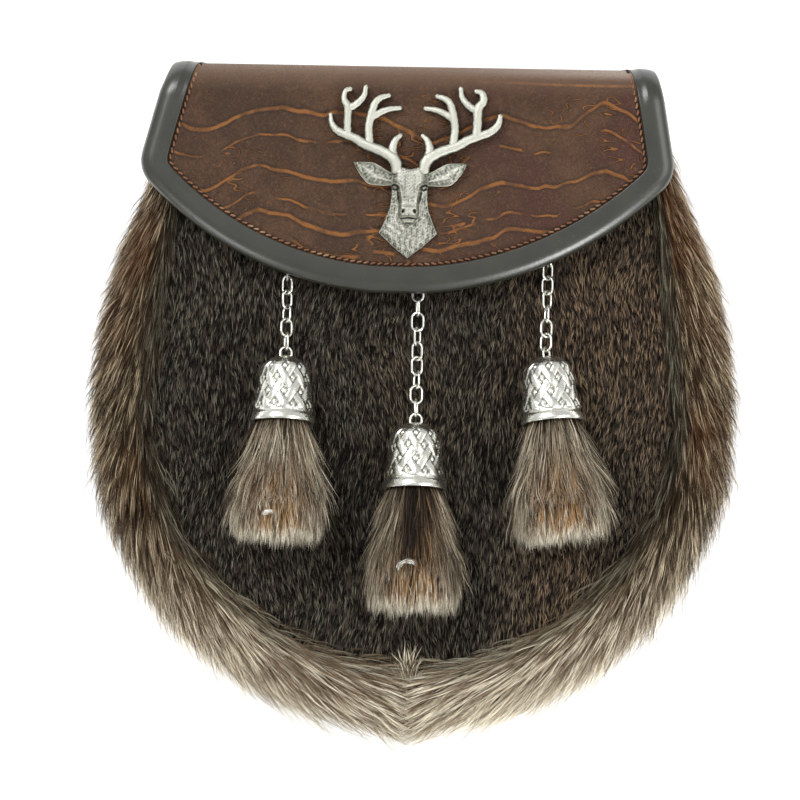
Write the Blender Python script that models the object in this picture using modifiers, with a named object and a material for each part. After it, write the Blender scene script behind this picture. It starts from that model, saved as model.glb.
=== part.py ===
"""A fur and leather sporran pouch, lying on its back.

Metres, +Z up. +Z is the way the front looks, +Y is towards the top of the pouch and +X is to the
right of someone who looks at its front. The origin lies on the surface that it rests on, under
the middle of the pouch.
"""

import math

import bmesh
import bpy
from mathutils import Matrix, Vector

GAP = 0.0003  # between neighbouring pieces
SEAM_GAP = 0.0007  # between curved edges, which are straight between their points
SHARP_ANGLE = math.radians(50)

# The pouch's outline: two concentric circles below, tapering sides above.
PANEL_RADIUS = 0.077
BORDER_RADIUS = 0.0962
PANEL_TOP = (0.0680, 0.088)
BORDER_SIDE = ((0.0985, 0.024), (0.085, 0.060), (0.0730, 0.088))
TIP_REACH = 0.0045
TIP_SPREAD = math.radians(6)

# Heights over the surface.
PANEL_EDGE_HEIGHT = 0.037
PANEL_DOME = 0.0035
PANEL_THICKNESS = 0.003
FRONT_COLUMNS = 12
FRONT_ANGLES = (7, 17, 28, 40, 52, 64, 77, 90)  # rows of the round part, in degrees from its bottom
FRONT_LEVELS = (0.03, 0.06, PANEL_TOP[1])  # rows above it, in Y
BACK_UNDERSIDE = 0.0064
BACK_THICKNESS = 0.0025
BACK_TOP = 0.0865
BACK_POINTS = 22  # on each side of its outline
BACK_SEAM = 0.165  # where the back's edge meets the border, as a share of the border's width

# The border's fur.
LOCK_ROWS = 13
LOCK_HEIGHT = 0.0021
LOCK_STAGGER = 0.26  # share of a row's length
LOCK_STEP = 0.02  # from a lock's tips back in to the next row, along the edge

# The flap. Its pattern is measured along the leather from its lower edge.
FLAP_LOWEST = 0.0345
FLAP_RADIUS = 0.1041
FLAP_CORNER_RADIUS = 0.0076
FLAP_ARC_START = math.radians(4)  # the half width's first point on the lower edge's arc
FLAP_CORNER_START = math.radians(45.6)
FLAP_SIDE_LEAN = math.radians(12.4)
FLAP_LENGTH = 0.136
FLAP_THICKNESS = 0.003
FLAP_TOP = 0.0488  # height of the leather's outer face on the front
FLAP_BACK = 0.0031  # the same on the back
FLAP_TOP_EDGE = 0.0999  # how far the leather reaches in Y
FLAP_BEND_RADIUS = 0.0095
FLAP_HALF_WIDTH = 0.0785
FLAP_CROWN = 0.0021  # how much lower its sides lie than its middle
FLAP_SHIFT = 0.0011  # the flap sits a little to the left, more so at its lower edge
FLAP_SKEW = 0.053
FLAP_ROWS = (3, 6, 2, 5, 2)  # on the front, first bend, top, second bend and back

# The stag badge. Its drawing unit is one 1385th of its height.
BADGE_HEIGHT = 0.0505
BADGE_PLACE = (-0.0018, 0.0665)
BADGE_TURN = math.radians(-0.1)
BADGE_UNIT = BADGE_HEIGHT / 1385

# Chains.
WIRE = 0.00075
LINK_LENGTH = 0.00615
LINK_WIDTH = 0.0042
LINK_PITCH = 0.00435
CHAIN_REST = 0.0026  # a link's middle over the front
CHAIN_REST_TOP = 0.0019  # the same under the flap
CHAIN_RISING = 3  # links between the front and the bail
STAPLE = (0.0014, 0.0018, 0.0029)  # half its length, its shoulders' height, its height
BAIL_REACH = 0.0027  # beyond the cone's tip
BAIL_FOOT = 0.0016  # inside the cone

# Tassels.
CONE_WALL = 0.0009
CONE_SIDES = 20
TASSEL_RISE = math.radians(9)
TASSEL_START = 0.0068  # the cone's tip over the front
TAIL_SIDES = 14

# Belt loops.
LOOP_WIDTH = 0.020
LOOP_PLACE = 0.040
LOOP_THICKNESS = 0.002
LOOP_SEAM = BACK_UNDERSIDE - GAP - LOOP_THICKNESS
# its outer face: y and z
LOOP_LINE = ((0.057, LOOP_SEAM), (0.050, LOOP_SEAM), (0.046, 0), (0.024, 0), (0.020, LOOP_SEAM),
             (0.013, LOOP_SEAM))

# name, x and y of the cone's tip, lean to the right, links' rolls about the chain from the top
TASSELS = (
    ("left", -0.0375, 0.0139, math.radians(-1.5), (-38, 45, -53, 28, -74)),
    ("middle", 0.0012, -0.0052, 0.0, (40, -25, -80, -8, 62, -36, 30, -66, 8, 80)),
    ("right", 0.0394, 0.0150, math.radians(6), (40, -32, 48, -75, 25, -32)),
)

# share of the border's width, height, share of the lock height, lock's degrees up from outward
BORDER_SECTION = (
    (0.015, 0.0370, 0.0, 90),
    (0.12, 0.0390, 0.35, 90),
    (0.30, 0.0400, 0.75, 66),
    (0.52, 0.0382, 1.0, 34),
    (0.74, 0.0332, 1.0, 3),
    (0.91, 0.0262, 1.0, 0),
    (1.00, 0.0185, 1.0, 0),
    (0.97, 0.0110, 1.0, 0),
    (0.84, 0.0052, 0.5, 0),
    (0.62, 0.0014, 0.0, 0),
    (0.40, 0.0, 0.0, 0),
    (0.22, 0.0012, 0.0, 0),
    (0.165, 0.0060, 0.0, 0),
    (0.165, 0.0110, 0.0, 0),
    (0.13, 0.0250, 0.0, 0),
    (0.015, 0.0338, 0.0, 0),
)

# out from the flap's edge, over the leather's outer face
BINDING_SECTION = (
    (-0.0054, 0.0004),
    (-0.0054, 0.0011),
    (-0.0046, 0.0015),
    (-0.0010, 0.0017),
    (0.0008, 0.0013),
    (0.0019, -0.0002),
    (0.0020, -0.0022),
    (0.0010, -0.0040),
    (-0.0010, -0.0046),
    (-0.0044, -0.0044),
    (-0.0044, -0.00345),
    (0.0004, -0.00345),
    (0.0004, 0.0004),
)

# along the cone from its tip, radius of its outer face
CONE_PROFILE = (
    (0.0004, 0.0018),
    (0.0016, 0.0046),
    (0.0040, 0.0064),
    (0.0068, 0.0070),
    (0.0098, 0.0073),
    (0.0128, 0.0077),
    (0.0158, 0.0082),
    (0.0180, 0.0086),
    (0.0184, 0.0090),
    (0.0203, 0.0092),
)
CONE_RELIEF = 0.00045
CONE_RELIEF_ROWS = (1, 7)

# along the tail from the cone's tip, half its width, half its depth, droop, share of the lock height
TAIL_SECTION = (
    (0.0130, 0.0058, 0.0058, 0.0, 0.0),
    (0.0190, 0.0074, 0.0074, 0.0, 0.0),
    (0.0215, 0.0088, 0.0086, 0.0, 0.3),
    (0.0300, 0.0118, 0.0098, 0.0005, 1.0),
    (0.0305, 0.0112, 0.0092, 0.0005, 0.0),
    (0.0420, 0.0144, 0.0110, 0.0015, 1.0),
    (0.0425, 0.0136, 0.0103, 0.0015, 0.0),
    (0.0500, 0.0150, 0.0110, 0.0026, 1.0),
    (0.0505, 0.0132, 0.0096, 0.0026, 0.0),
    (0.0565, 0.0122, 0.0078, 0.0036, 1.0),
)
TAIL_LOCK = 0.0010
TAIL_STAGGER = 0.0014

# the badge's head and neck: along it, half its width, edge height, ridge's half width and height
BADGE_HEAD = (
    (-650, 6, 22, 2, 30),
    (-555, 120, 26, 40, 66),
    (-455, 235, 28, 90, 84),
    (-400, 212, 34, 92, 96),
    (-345, 190, 44, 70, 120),
    (-325, 184, 50, 84, 164),
    (-220, 158, 52, 92, 172),
    (-190, 153, 54, 74, 150),
    (-100, 150, 58, 62, 138),
    (-60, 153, 62, 104, 134),
    (10, 154, 60, 92, 124),
    (60, 140, 52, 70, 108),
    (68, 120, 50, 60, 92),
)
BADGE_EAR = ((150, 30), (240, 85), (305, 116), (462, 120), (400, 25), (330, -55), (150, -60))
BADGE_EAR_FACES = (8, 52)

# an antler's beam and tines: (across, along, height, radius) at each point
ANTLER = {
    "beam": (
        (104, 40, 70, 34),
        (130, 140, 64, 38),
        (225, 205, 56, 34),
        (380, 265, 50, 32),
        (455, 310, 46, 30),
        (610, 372, 40, 26),
        (678, 436, 36, 21),
        (697, 518, 32, 10),
    ),
    "brow": ((132, 120, 64, 34), (150, 225, 56, 28), (128, 300, 50, 21), (84, 345, 46, 10)),
    "outer": ((516, 326, 44, 28), (525, 420, 42, 28), (527, 560, 40, 28), (565, 625, 38, 23),
              (552, 690, 34, 18), (502, 708, 32, 10)),
    "outer_inner": ((527, 545, 40, 25), (458, 584, 38, 23), (398, 650, 34, 17), (382, 730, 32, 10)),
    "inner": ((336, 235, 50, 30), (342, 320, 48, 27), (348, 400, 44, 26), (334, 490, 40, 27),
              (305, 595, 38, 23), (258, 640, 34, 18), (188, 662, 32, 10)),
    "inner_inner": ((338, 465, 42, 25), (306, 496, 38, 24), (205, 546, 34, 19), (95, 562, 32, 10)),
}

# name, colour, roughness, metallic
FINISHES = {
    "back_leather": ((0.035, 0.026, 0.021), 0.6, 0.0),
    "dark_fur": ((0.045, 0.038, 0.034), 0.85, 0.0),
    "border_fur": ((0.24, 0.18, 0.13), 0.9, 0.0),
    "flap_leather": ((0.11, 0.042, 0.024), 0.45, 0.0),
    "edging_leather": ((0.055, 0.05, 0.046), 0.4, 0.0),
    "pewter": ((0.52, 0.52, 0.48), 0.35, 1.0),
    "silver": ((0.8, 0.8, 0.78), 0.2, 1.0),
    "tail_fur": ((0.3, 0.22, 0.17), 0.9, 0.0),
}


# ---------------------------------------------------------------- general helpers


def clear_scene():
    for obj in list(bpy.data.objects):
        bpy.data.objects.remove(obj, do_unlink=True)


def new_collection(name):
    collection = bpy.data.collections.new(name)
    bpy.context.scene.collection.children.link(collection)
    return collection


def finish(name):
    """The material of this name, made at its first use."""
    material = bpy.data.materials.get(name)
    if material:
        return material
    colour, roughness, metallic = FINISHES[name]
    material = bpy.data.materials.new(name)
    material.use_nodes = True
    shader = material.node_tree.nodes["Principled BSDF"]
    shader.inputs["Base Color"].default_value = (*colour, 1)
    shader.inputs["Roughness"].default_value = roughness
    shader.inputs["Metallic"].default_value = metallic
    return material


def add_object(name, data, material):
    obj = bpy.data.objects.new(name, data)
    if not data.materials:
        data.materials.append(finish(material))
    PARTS.objects.link(obj)
    return obj


def add_mesh(name, mesh, material):
    """An object of a bmesh, which is freed, with its faces turned outward."""
    bmesh.ops.recalc_face_normals(mesh, faces=mesh.faces)
    data = bpy.data.meshes.new(name)
    mesh.to_mesh(data)
    mesh.free()
    data.shade_smooth()
    data.set_sharp_from_angle(angle=SHARP_ANGLE)
    return add_object(name, data, material)


def loft(mesh, rings, closed_rings=True, capped=True):
    """Faces between successive rings of as many points, with a cap at each end."""
    rows = [[mesh.verts.new(point) for point in ring] for ring in rings]
    count = len(rows[0])
    around = count if closed_rings else count - 1
    for upper, lower in zip(rows, rows[1:]):
        for i in range(around):
            j = (i + 1) % count
            mesh.faces.new((upper[i], upper[j], lower[j], lower[i]))
    if capped:
        mesh.faces.new(rows[0])
        mesh.faces.new(rows[-1])
    return rows


def lerp(a, b, share):
    return a + (b - a) * share


def ramp(value, start, end):
    return min(1.0, max(0.0, (value - start) / (end - start)))


def wire(name, points, radius, material, closed=False, radii=None):
    """A round wire through the points."""
    curve = bpy.data.curves.new(name, "CURVE")
    curve.dimensions = "3D"
    curve.bevel_depth = radius
    curve.bevel_resolution = 1
    curve.use_fill_caps = not closed
    spline = curve.splines.new("POLY")
    spline.points.add(len(points) - 1)
    for i, point in enumerate(points):
        spline.points[i].co = (*point, 1)
        spline.points[i].radius = radii[i] if radii else 1
    spline.use_cyclic_u = closed
    return add_object(name, curve, material)


def as_mesh(obj):
    """Replaces a curve object by a mesh object of the same shape, with its caps welded."""
    bpy.context.view_layer.update()
    graph = bpy.context.evaluated_depsgraph_get()
    data = bpy.data.meshes.new_from_object(obj.evaluated_get(graph))
    mesh = bmesh.new()
    mesh.from_mesh(data)
    bmesh.ops.remove_doubles(mesh, verts=mesh.verts, dist=1e-6)
    bmesh.ops.recalc_face_normals(mesh, faces=mesh.faces)
    mesh.to_mesh(data)
    mesh.free()
    name, place, material = obj.name, obj.matrix_world.copy(), obj.data.materials[0].name
    bpy.data.objects.remove(obj, do_unlink=True)
    made = add_object(name, data, material)
    made.matrix_world = place
    return made


def fuse(obj, other):
    """Joins another closed mesh into this one for good."""
    modifier = obj.modifiers.new("fuse", "BOOLEAN")
    modifier.operation = "UNION"
    modifier.object = other
    modifier.use_self = True
    bpy.context.view_layer.update()
    graph = bpy.context.evaluated_depsgraph_get()
    data = bpy.data.meshes.new_from_object(obj.evaluated_get(graph))
    obj.modifiers.clear()
    obj.data = data
    bpy.data.objects.remove(other, do_unlink=True)
    return obj


# ---------------------------------------------------------------- the pouch's outline


def bezier(points, share):
    rest = 1 - share
    weights = (rest**3, 3 * rest**2 * share, 3 * rest * share**2, share**3)
    return sum((Vector(point) * weight for point, weight in zip(points, weights)), Vector((0, 0)))


def panel_edge(s):
    """The front's right-hand edge: from the bottom, s = 0, by the widest place, 1, to the top, 2."""
    if s <= 1:
        angle = s * math.pi / 2
        return Vector((PANEL_RADIUS * math.sin(angle), -PANEL_RADIUS * math.cos(angle)))
    return Vector((PANEL_RADIUS, 0)).lerp(Vector(PANEL_TOP), s - 1)


def border_edge(s):
    """The outer edge of the fur border at the same place."""
    if s <= 1:
        angle = s * math.pi / 2
        radius = BORDER_RADIUS + TIP_REACH * math.exp(-((angle / TIP_SPREAD) ** 2))
        return Vector((radius * math.sin(angle), -radius * math.cos(angle)))
    return bezier(((BORDER_RADIUS, 0), *BORDER_SIDE), s - 1)


def front_height(x, y):
    """Height of the front panel's outer face."""
    half_width = max(half_width_at(y), 1e-4)
    across = min(1, abs(x) / half_width)
    if y < 0:
        along = max(0, 1 - (y / PANEL_RADIUS) ** 2)
    else:
        along = 1 - 0.3 * (y / PANEL_TOP[1]) ** 2
    return PANEL_EDGE_HEIGHT + PANEL_DOME * (1 - across**2) * along


def half_width_at(y):
    if y < 0:
        return math.sqrt(max(0, PANEL_RADIUS**2 - y**2))
    return lerp(PANEL_RADIUS, PANEL_TOP[0], y / PANEL_TOP[1])


def make_front_panel():
    """The domed front, an open surface with the leather's and fur's thickness behind it."""
    levels = [-PANEL_RADIUS * math.cos(math.radians(angle)) for angle in FRONT_ANGLES]
    steps = [2 * i / FRONT_COLUMNS - 1 for i in range(FRONT_COLUMNS + 1)]
    rings = []
    for y in (*levels, *FRONT_LEVELS):
        across = [half_width_at(y) * math.sin(step * math.pi / 2) for step in steps]
        rings.append([(x, y, front_height(x, y)) for x in across])
    mesh = bmesh.new()
    loft(mesh, rings, closed_rings=False, capped=False)
    panel = add_mesh("front_panel", mesh, "dark_fur")
    solidify = panel.modifiers.new("thickness", "SOLIDIFY")
    solidify.thickness = PANEL_THICKNESS
    solidify.offset = -1 if panel.data.polygons[0].normal.z > 0 else 1


def make_back_panel():
    """The flat leather back, its edge just inside the border's."""
    right = []
    for i in range(BACK_POINTS + 1):
        s = 2 * i / BACK_POINTS
        inner, outer = panel_edge(s), border_edge(s)
        inward = SEAM_GAP / (outer - inner).length
        place = inner.lerp(outer, BACK_SEAM - inward)
        right.append((place.x, min(place.y, BACK_TOP)))
    lowest = (0, right[1][1])
    outline = [(-x, y) for x, y in reversed(right[1:])] + [lowest] + right[1:]
    curve = bpy.data.curves.new("back_panel", "CURVE")
    curve.dimensions = "2D"
    curve.fill_mode = "BOTH"
    curve.extrude = BACK_THICKNESS / 2
    spline = curve.splines.new("POLY")
    spline.points.add(len(outline) - 1)
    for point, place in zip(spline.points, outline):
        point.co = (*place, 0, 1)
    spline.use_cyclic_u = True
    panel = add_object("back_panel", curve, "back_leather")
    panel.location.z = BACK_UNDERSIDE + BACK_THICKNESS / 2


# ---------------------------------------------------------------- the fur border


def border_ring(s, lock, stagger):
    """The border's closed section near s; locks stand out by lock times their height."""
    ring = []
    for j, (share, height, full, degrees) in enumerate(BORDER_SECTION):
        here = s + (stagger if j % 2 else -stagger) * full
        here = min(2.0, max(0.0, here))
        inner, outer = panel_edge(here), border_edge(here)
        width = (outer - inner).length
        stand = lock * full * LOCK_HEIGHT
        reach = max(share * width, SEAM_GAP) + stand * math.cos(math.radians(degrees))
        place = inner + (outer - inner) / width * reach
        level = height + stand * math.sin(math.radians(degrees))
        ring.append((max(place.x, GAP / 2), place.y, level))
    return ring


def make_border(side):
    """One half of the deep-fur side wall: rows of locks whose tips point down the strip."""
    rings = []
    length = 2 / LOCK_ROWS
    for row in range(LOCK_ROWS):
        upper = 2 - row * length
        tips = LOCK_STAGGER * length / 2 * (1 if row % 2 else -1)
        if row == 0:
            rings.append(border_ring(upper, 0, 0))
        else:
            rings.append(border_ring(upper - LOCK_STEP, 0, -tips))
        if row < LOCK_ROWS - 1:
            rings.append(border_ring(upper - length, 1, tips))
        else:
            rings.append(border_ring(0, 0.5, 0))
    if side < 0:
        rings = [[(-x, y, z) for x, y, z in ring] for ring in rings]
    mesh = bmesh.new()
    loft(mesh, rings)
    bmesh.ops.triangulate(mesh, faces=mesh.faces)
    add_mesh("fur_gusset_right" if side > 0 else "fur_gusset_left", mesh, "border_fur")


# ---------------------------------------------------------------- the flap


def flap_lengths():
    """Where the flap's front, first bend, top, second bend and back end, along the leather."""
    bend = math.pi / 2 * FLAP_BEND_RADIUS
    front = FLAP_TOP_EDGE - FLAP_BEND_RADIUS - FLAP_LOWEST
    top = FLAP_TOP - FLAP_BACK - 2 * FLAP_BEND_RADIUS
    return front, front + bend, front + bend + top, front + 2 * bend + top, FLAP_LENGTH


def flap_line(along):
    """The flap's outer face along its middle: y, z and the outward normal's y and z."""
    front, bend, top, second, _ = flap_lengths()
    turned = (ramp(along, front, bend) + ramp(along, top, second)) * math.pi / 2
    y = FLAP_LOWEST + min(along, front) - max(0, along - second)
    z = FLAP_TOP - FLAP_BEND_RADIUS - min(max(0, along - bend), top - bend)
    normal_y, normal_z = math.sin(turned), math.cos(turned)
    return y + FLAP_BEND_RADIUS * normal_y, z + FLAP_BEND_RADIUS * normal_z, normal_y, normal_z


def flap_point(along, across):
    """The flap's outer face and its normal, at a length along it and a distance across."""
    y, z, normal_y, normal_z = flap_line(along)
    normal = Vector((0, normal_y, normal_z))
    facing = max(0, normal_z)
    crown = FLAP_CROWN * (across / FLAP_HALF_WIDTH) ** 2 * facing
    shift = FLAP_SHIFT + FLAP_SKEW * (FLAP_TOP_EDGE - y) * facing
    tilt = Vector((2 * FLAP_CROWN * across / FLAP_HALF_WIDTH**2 * facing, 0, 0))
    return Vector((across - shift, y, z)) - normal * crown, (normal + tilt).normalized()


def flap_pattern():
    """The flat pattern's right-hand edge: (along, half width) from the lower edge to the tail."""
    centre = FLAP_RADIUS - FLAP_CORNER_RADIUS
    across = centre * math.sin(FLAP_CORNER_START)
    along = FLAP_RADIUS - centre * math.cos(FLAP_CORNER_START)
    edge = []
    for i in range(8):
        angle = lerp(FLAP_ARC_START, FLAP_CORNER_START, i / 8)
        edge.append((FLAP_RADIUS * (1 - math.cos(angle)), FLAP_RADIUS * math.sin(angle)))
    end = math.pi / 2 + FLAP_SIDE_LEAN
    for i in range(6):
        angle = lerp(FLAP_CORNER_START, end, i / 5)
        in_x, in_y = FLAP_CORNER_RADIUS * math.sin(angle), FLAP_CORNER_RADIUS * math.cos(angle)
        edge.append((along - in_y, across + in_x))
    top_along, top_half = edge[-1]
    start = top_along
    for end, rows in zip(flap_lengths(), FLAP_ROWS):
        for i in range(1, rows + 1):
            along = lerp(start, end, i / rows)
            edge.append((along, top_half - (along - top_along) * math.tan(FLAP_SIDE_LEAN)))
        start = end
    return edge


def make_flap():
    columns = 8
    rings = []
    for along, half in flap_pattern():
        across = [half * (2 * i / columns - 1) for i in range(columns + 1)]
        rings.append([flap_point(along, x)[0] for x in across])
    mesh = bmesh.new()
    loft(mesh, rings, closed_rings=False, capped=False)
    flap = add_mesh("flap", mesh, "flap_leather")
    solidify = flap.modifiers.new("thickness", "SOLIDIFY")
    solidify.thickness = FLAP_THICKNESS
    solidify.offset = -1 if flap.data.polygons[0].normal.z > 0 else 1


def make_binding():
    """The edging: a folded strip swept round the flap's edge, open towards the leather."""
    top = flap_lengths()[2]
    edge = [(along, half) for along, half in flap_pattern() if along <= top]
    route = [(along, -half) for along, half in reversed(edge)] + edge
    places = [flap_point(along, across) for along, across in route]
    rings = []
    for i, (place, normal) in enumerate(places):
        before = places[max(0, i - 1)][0]
        after = places[min(len(places) - 1, i + 1)][0]
        step_in = (place - before).normalized() if i else Vector()
        step_out = (after - place).normalized() if i < len(places) - 1 else Vector()
        along = (step_in + step_out).normalized()
        out = along.cross(normal).normalized()
        spread = 1 / max(0.7, out.dot(along.cross(normal)))
        rings.append([place + out * o * spread + normal * n for o, n in BINDING_SECTION])
    mesh = bmesh.new()
    loft(mesh, rings)
    bmesh.ops.triangulate(mesh, faces=mesh.faces)
    add_mesh("flap_binding", mesh, "edging_leather")


# ---------------------------------------------------------------- the stag badge


def badge_head():
    """Head and neck: sections across the badge, flat behind."""
    rings = []
    for y, half, edge, ridge_half, ridge in BADGE_HEAD:
        right = [(half, 0), (half, edge), (lerp(half, ridge_half, 0.6), lerp(edge, ridge, 0.3)),
                 (ridge_half, ridge)]
        profile = right + [(-x, z) for x, z in reversed(right)]
        rings.append([Vector((x, y, z)) * BADGE_UNIT for x, z in profile])
    mesh = bmesh.new()
    loft(mesh, rings)
    bmesh.ops.triangulate(mesh, faces=mesh.faces)
    return add_mesh("stag_badge", mesh, "pewter")


def badge_ear(side):
    mesh = bmesh.new()
    loft(mesh, [[Vector((side * x, y, z)) * BADGE_UNIT for x, y in BADGE_EAR] for z in BADGE_EAR_FACES])
    return add_mesh("ear", mesh, "pewter")


def badge_tine(points, side):
    places = [Vector((side * x, y, z)) * BADGE_UNIT for x, y, z, _ in points]
    radii = [radius for *_, radius in points]
    return as_mesh(wire("tine", places, BADGE_UNIT, "pewter", radii=radii))


def make_badge():
    """Drawn flat, then laid on the flap's front."""
    badge = badge_head()
    limbs = [badge_ear(side) for side in (-1, 1)]
    limbs += [badge_tine(points, side) for side in (-1, 1) for points in ANTLER.values()]
    for limb in limbs:
        fuse(badge, limb)
    turn = Matrix.Rotation(BADGE_TURN, 4, "Z")
    place = Matrix.Translation((*BADGE_PLACE, FLAP_TOP + GAP))
    badge.data.transform(place @ turn)
    mesh = bmesh.new()
    mesh.from_mesh(badge.data)
    bmesh.ops.remove_doubles(mesh, verts=mesh.verts, dist=2e-6)
    bmesh.ops.triangulate(mesh, faces=mesh.faces)
    mesh.to_mesh(badge.data)
    mesh.free()


# ---------------------------------------------------------------- chains and tassels


def tassel_frame(x, y, lean):
    """Places a tassel: its own -Y runs down it, its +Z looks up."""
    rise = Matrix.Rotation(-TASSEL_RISE, 4, "X")
    place = Vector((x, y, front_height(x, y) + TASSEL_START))
    return Matrix.Translation(place) @ Matrix.Rotation(lean, 4, "Z") @ rise


def link_points(length, width):
    """A link's middle line, in its own plane, lengthwise along Y."""
    radius = (width - WIRE) / 2
    straight = (length - width) / 2
    points = []
    for end in (1, -1):
        for i in range(5):
            angle = math.radians(90 - 90 * end) + math.pi * i / 4
            points.append((radius * math.cos(angle), end * straight + radius * math.sin(angle), 0))
    return points


def chain_joints(x, y, lean, count):
    """Where the links hook into one another, from the cone's bail up to the last link."""
    bail = tassel_frame(x, y, lean) @ Vector((0, BAIL_REACH - WIRE / 2, 0))
    joints = [bail - Vector((0, (WIRE + GAP) / 2, 0))]
    for i in range(1, count + 1):
        share = min(1, i / CHAIN_RISING)
        level = joints[-1].y + LINK_PITCH
        over = lerp(CHAIN_REST_TOP, CHAIN_REST, min(1, (count - i) / CHAIN_RISING))
        rest = front_height(x, level) + over
        target = Vector((lerp(bail.x, x, share), level, lerp(bail.z, rest, share)))
        step = target - joints[-1]
        joints.append(joints[-1] + step.normalized() * LINK_PITCH)
    return joints


def make_chain(name, joints, rolls):
    """Links from the cone's bail up to the staple; each is turned about the chain's line."""
    count = len(rolls)
    base = wire(f"link_{name}_{count}", link_points(LINK_LENGTH, LINK_WIDTH), WIRE / 2,
                "silver", closed=True)
    for i, roll in enumerate(reversed(rolls)):
        link = base if i == 0 else add_object(f"link_{name}_{count - i}", base.data, "silver")
        step = joints[i + 1] - joints[i]
        turn = Vector((0, 1, 0)).rotation_difference(step).to_matrix().to_4x4()
        place = Matrix.Translation((joints[i] + joints[i + 1]) / 2)
        link.matrix_world = place @ turn @ Matrix.Rotation(math.radians(roll), 4, "Y")


def make_staple(name, last_joint):
    """A wire arch under the flap, standing on the front across the end of the first link."""
    x, y, _ = last_joint + Vector((0, (WIRE + GAP) / 2, 0))
    base = front_height(x, y) + WIRE / 2 + GAP
    half, shoulder, top = STAPLE
    arch = [(x, y - half, base), (x, y - half, base + shoulder), (x, y - half / 2, base + top),
            (x, y + half / 2, base + top), (x, y + half, base + shoulder), (x, y + half, base)]
    wire("chain_staple_" + name, arch, WIRE / 2, "silver")


def cone_rings():
    """The cup's outer face with its raised strapwork, then its inner face back up."""
    rings = []
    first, last = CONE_RELIEF_ROWS
    for row, (along, radius) in enumerate(CONE_PROFILE):
        ring = []
        for i in range(CONE_SIDES):
            raised = first <= row <= last and (i + row) % 2 == 0
            size = radius + (CONE_RELIEF if raised else 0)
            angle = 2 * math.pi * i / CONE_SIDES
            ring.append((size * math.cos(angle), -along, size * math.sin(angle)))
        rings.append(ring)
    for along, radius in reversed(CONE_PROFILE[2::2]):
        size = radius - CONE_WALL
        ring = []
        for i in range(CONE_SIDES):
            angle = 2 * math.pi * i / CONE_SIDES
            ring.append((size * math.cos(angle), -along, size * math.sin(angle)))
        rings.append(ring)
    return rings


def make_cone(name, x, y, lean, bail_roll):
    mesh = bmesh.new()
    rows = loft(mesh, cone_rings())
    first, last = CONE_RELIEF_ROWS
    for row in range(first, last):
        for i in range(CONE_SIDES):
            j = (i + 1) % CONE_SIDES
            if (i + row) % 2 == 0:
                ends = (rows[row][i], rows[row + 1][j])
            else:
                ends = (rows[row][j], rows[row + 1][i])
            bmesh.ops.connect_verts(mesh, verts=ends)
    bmesh.ops.triangulate(mesh, faces=mesh.faces)
    cone = add_mesh("cone_" + name, mesh, "silver")
    radius = (LINK_WIDTH - WIRE) / 2
    middle = BAIL_REACH - WIRE / 2 - radius
    arch = [(-radius, -BAIL_FOOT, 0)]
    for i in range(7):
        angle = math.pi - math.pi * i / 6
        arch.append((radius * math.cos(angle), middle + radius * math.sin(angle), 0))
    arch.append((radius, -BAIL_FOOT, 0))
    bail = as_mesh(wire("bail", arch, WIRE / 2, "silver"))
    bail.data.transform(Matrix.Rotation(math.radians(bail_roll), 4, "Y"))
    fuse(cone, bail)
    cone.matrix_world = tassel_frame(x, y, lean)


def make_tail(name, x, y, lean):
    """The fur tail: tiers of locks with ragged ends, on a head that fills the cone."""
    rings = []
    for tier, (along, half_width, half_depth, droop, full) in enumerate(TAIL_SECTION):
        ring = []
        for i in range(TAIL_SIDES):
            angle = 2 * math.pi * i / TAIL_SIDES
            tip = (i + tier // 2) % 2
            reach = along + TAIL_STAGGER * full * (1 if tip else -1)
            across = (half_width + TAIL_LOCK * full * tip) * math.cos(angle)
            ring.append((across, -reach, half_depth * math.sin(angle) - droop))
        rings.append(ring)
    mesh = bmesh.new()
    loft(mesh, rings)
    bmesh.ops.triangulate(mesh, faces=mesh.faces)
    tail = add_mesh("tail_" + name, mesh, "tail_fur")
    tail.matrix_world = tassel_frame(x, y, lean)


# ---------------------------------------------------------------- the belt loops


def make_loop(name, x):
    """A strip sewn to the back at both ends, standing off it between for the wearing strap."""
    mesh = bmesh.new()
    sides = (x - LOOP_WIDTH / 2, x + LOOP_WIDTH / 2)
    loft(mesh, [[(side, y, z) for y, z in LOOP_LINE] for side in sides], closed_rings=False, capped=False)
    loop = add_mesh("belt_loop_" + name, mesh, "back_leather")
    solidify = loop.modifiers.new("thickness", "SOLIDIFY")
    solidify.thickness = LOOP_THICKNESS
    solidify.use_even_offset = True
    solidify.offset = 1 if loop.data.polygons[0].normal.z > 0 else -1


clear_scene()
PARTS = new_collection("sporran_pouch")
make_back_panel()
make_front_panel()
for half in (-1, 1):
    make_border(half)
make_flap()
make_binding()
make_badge()
for tassel, tip_x, tip_y, lean, link_rolls in TASSELS:
    hooks = chain_joints(tip_x, tip_y, lean, len(link_rolls))
    make_chain(tassel, hooks, link_rolls)
    make_staple(tassel, hooks[-1])
    make_cone(tassel, tip_x, tip_y, lean, link_rolls[-1] + 90)
    make_tail(tassel, tip_x, tip_y, lean)
make_loop("left", -LOOP_PLACE)
make_loop("right", LOOP_PLACE)
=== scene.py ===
"""A fur and leather sporran pouch, dressed over its solid frame.

Metres, +Z up. The pouch lies on its back: +Z is the way its front looks and +Y is towards its top.
"""

import math

import bmesh
import bpy
import numpy as np
from bpy.props import FloatProperty, FloatVectorProperty, IntProperty, PointerProperty
from mathutils import Matrix, Vector


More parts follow.
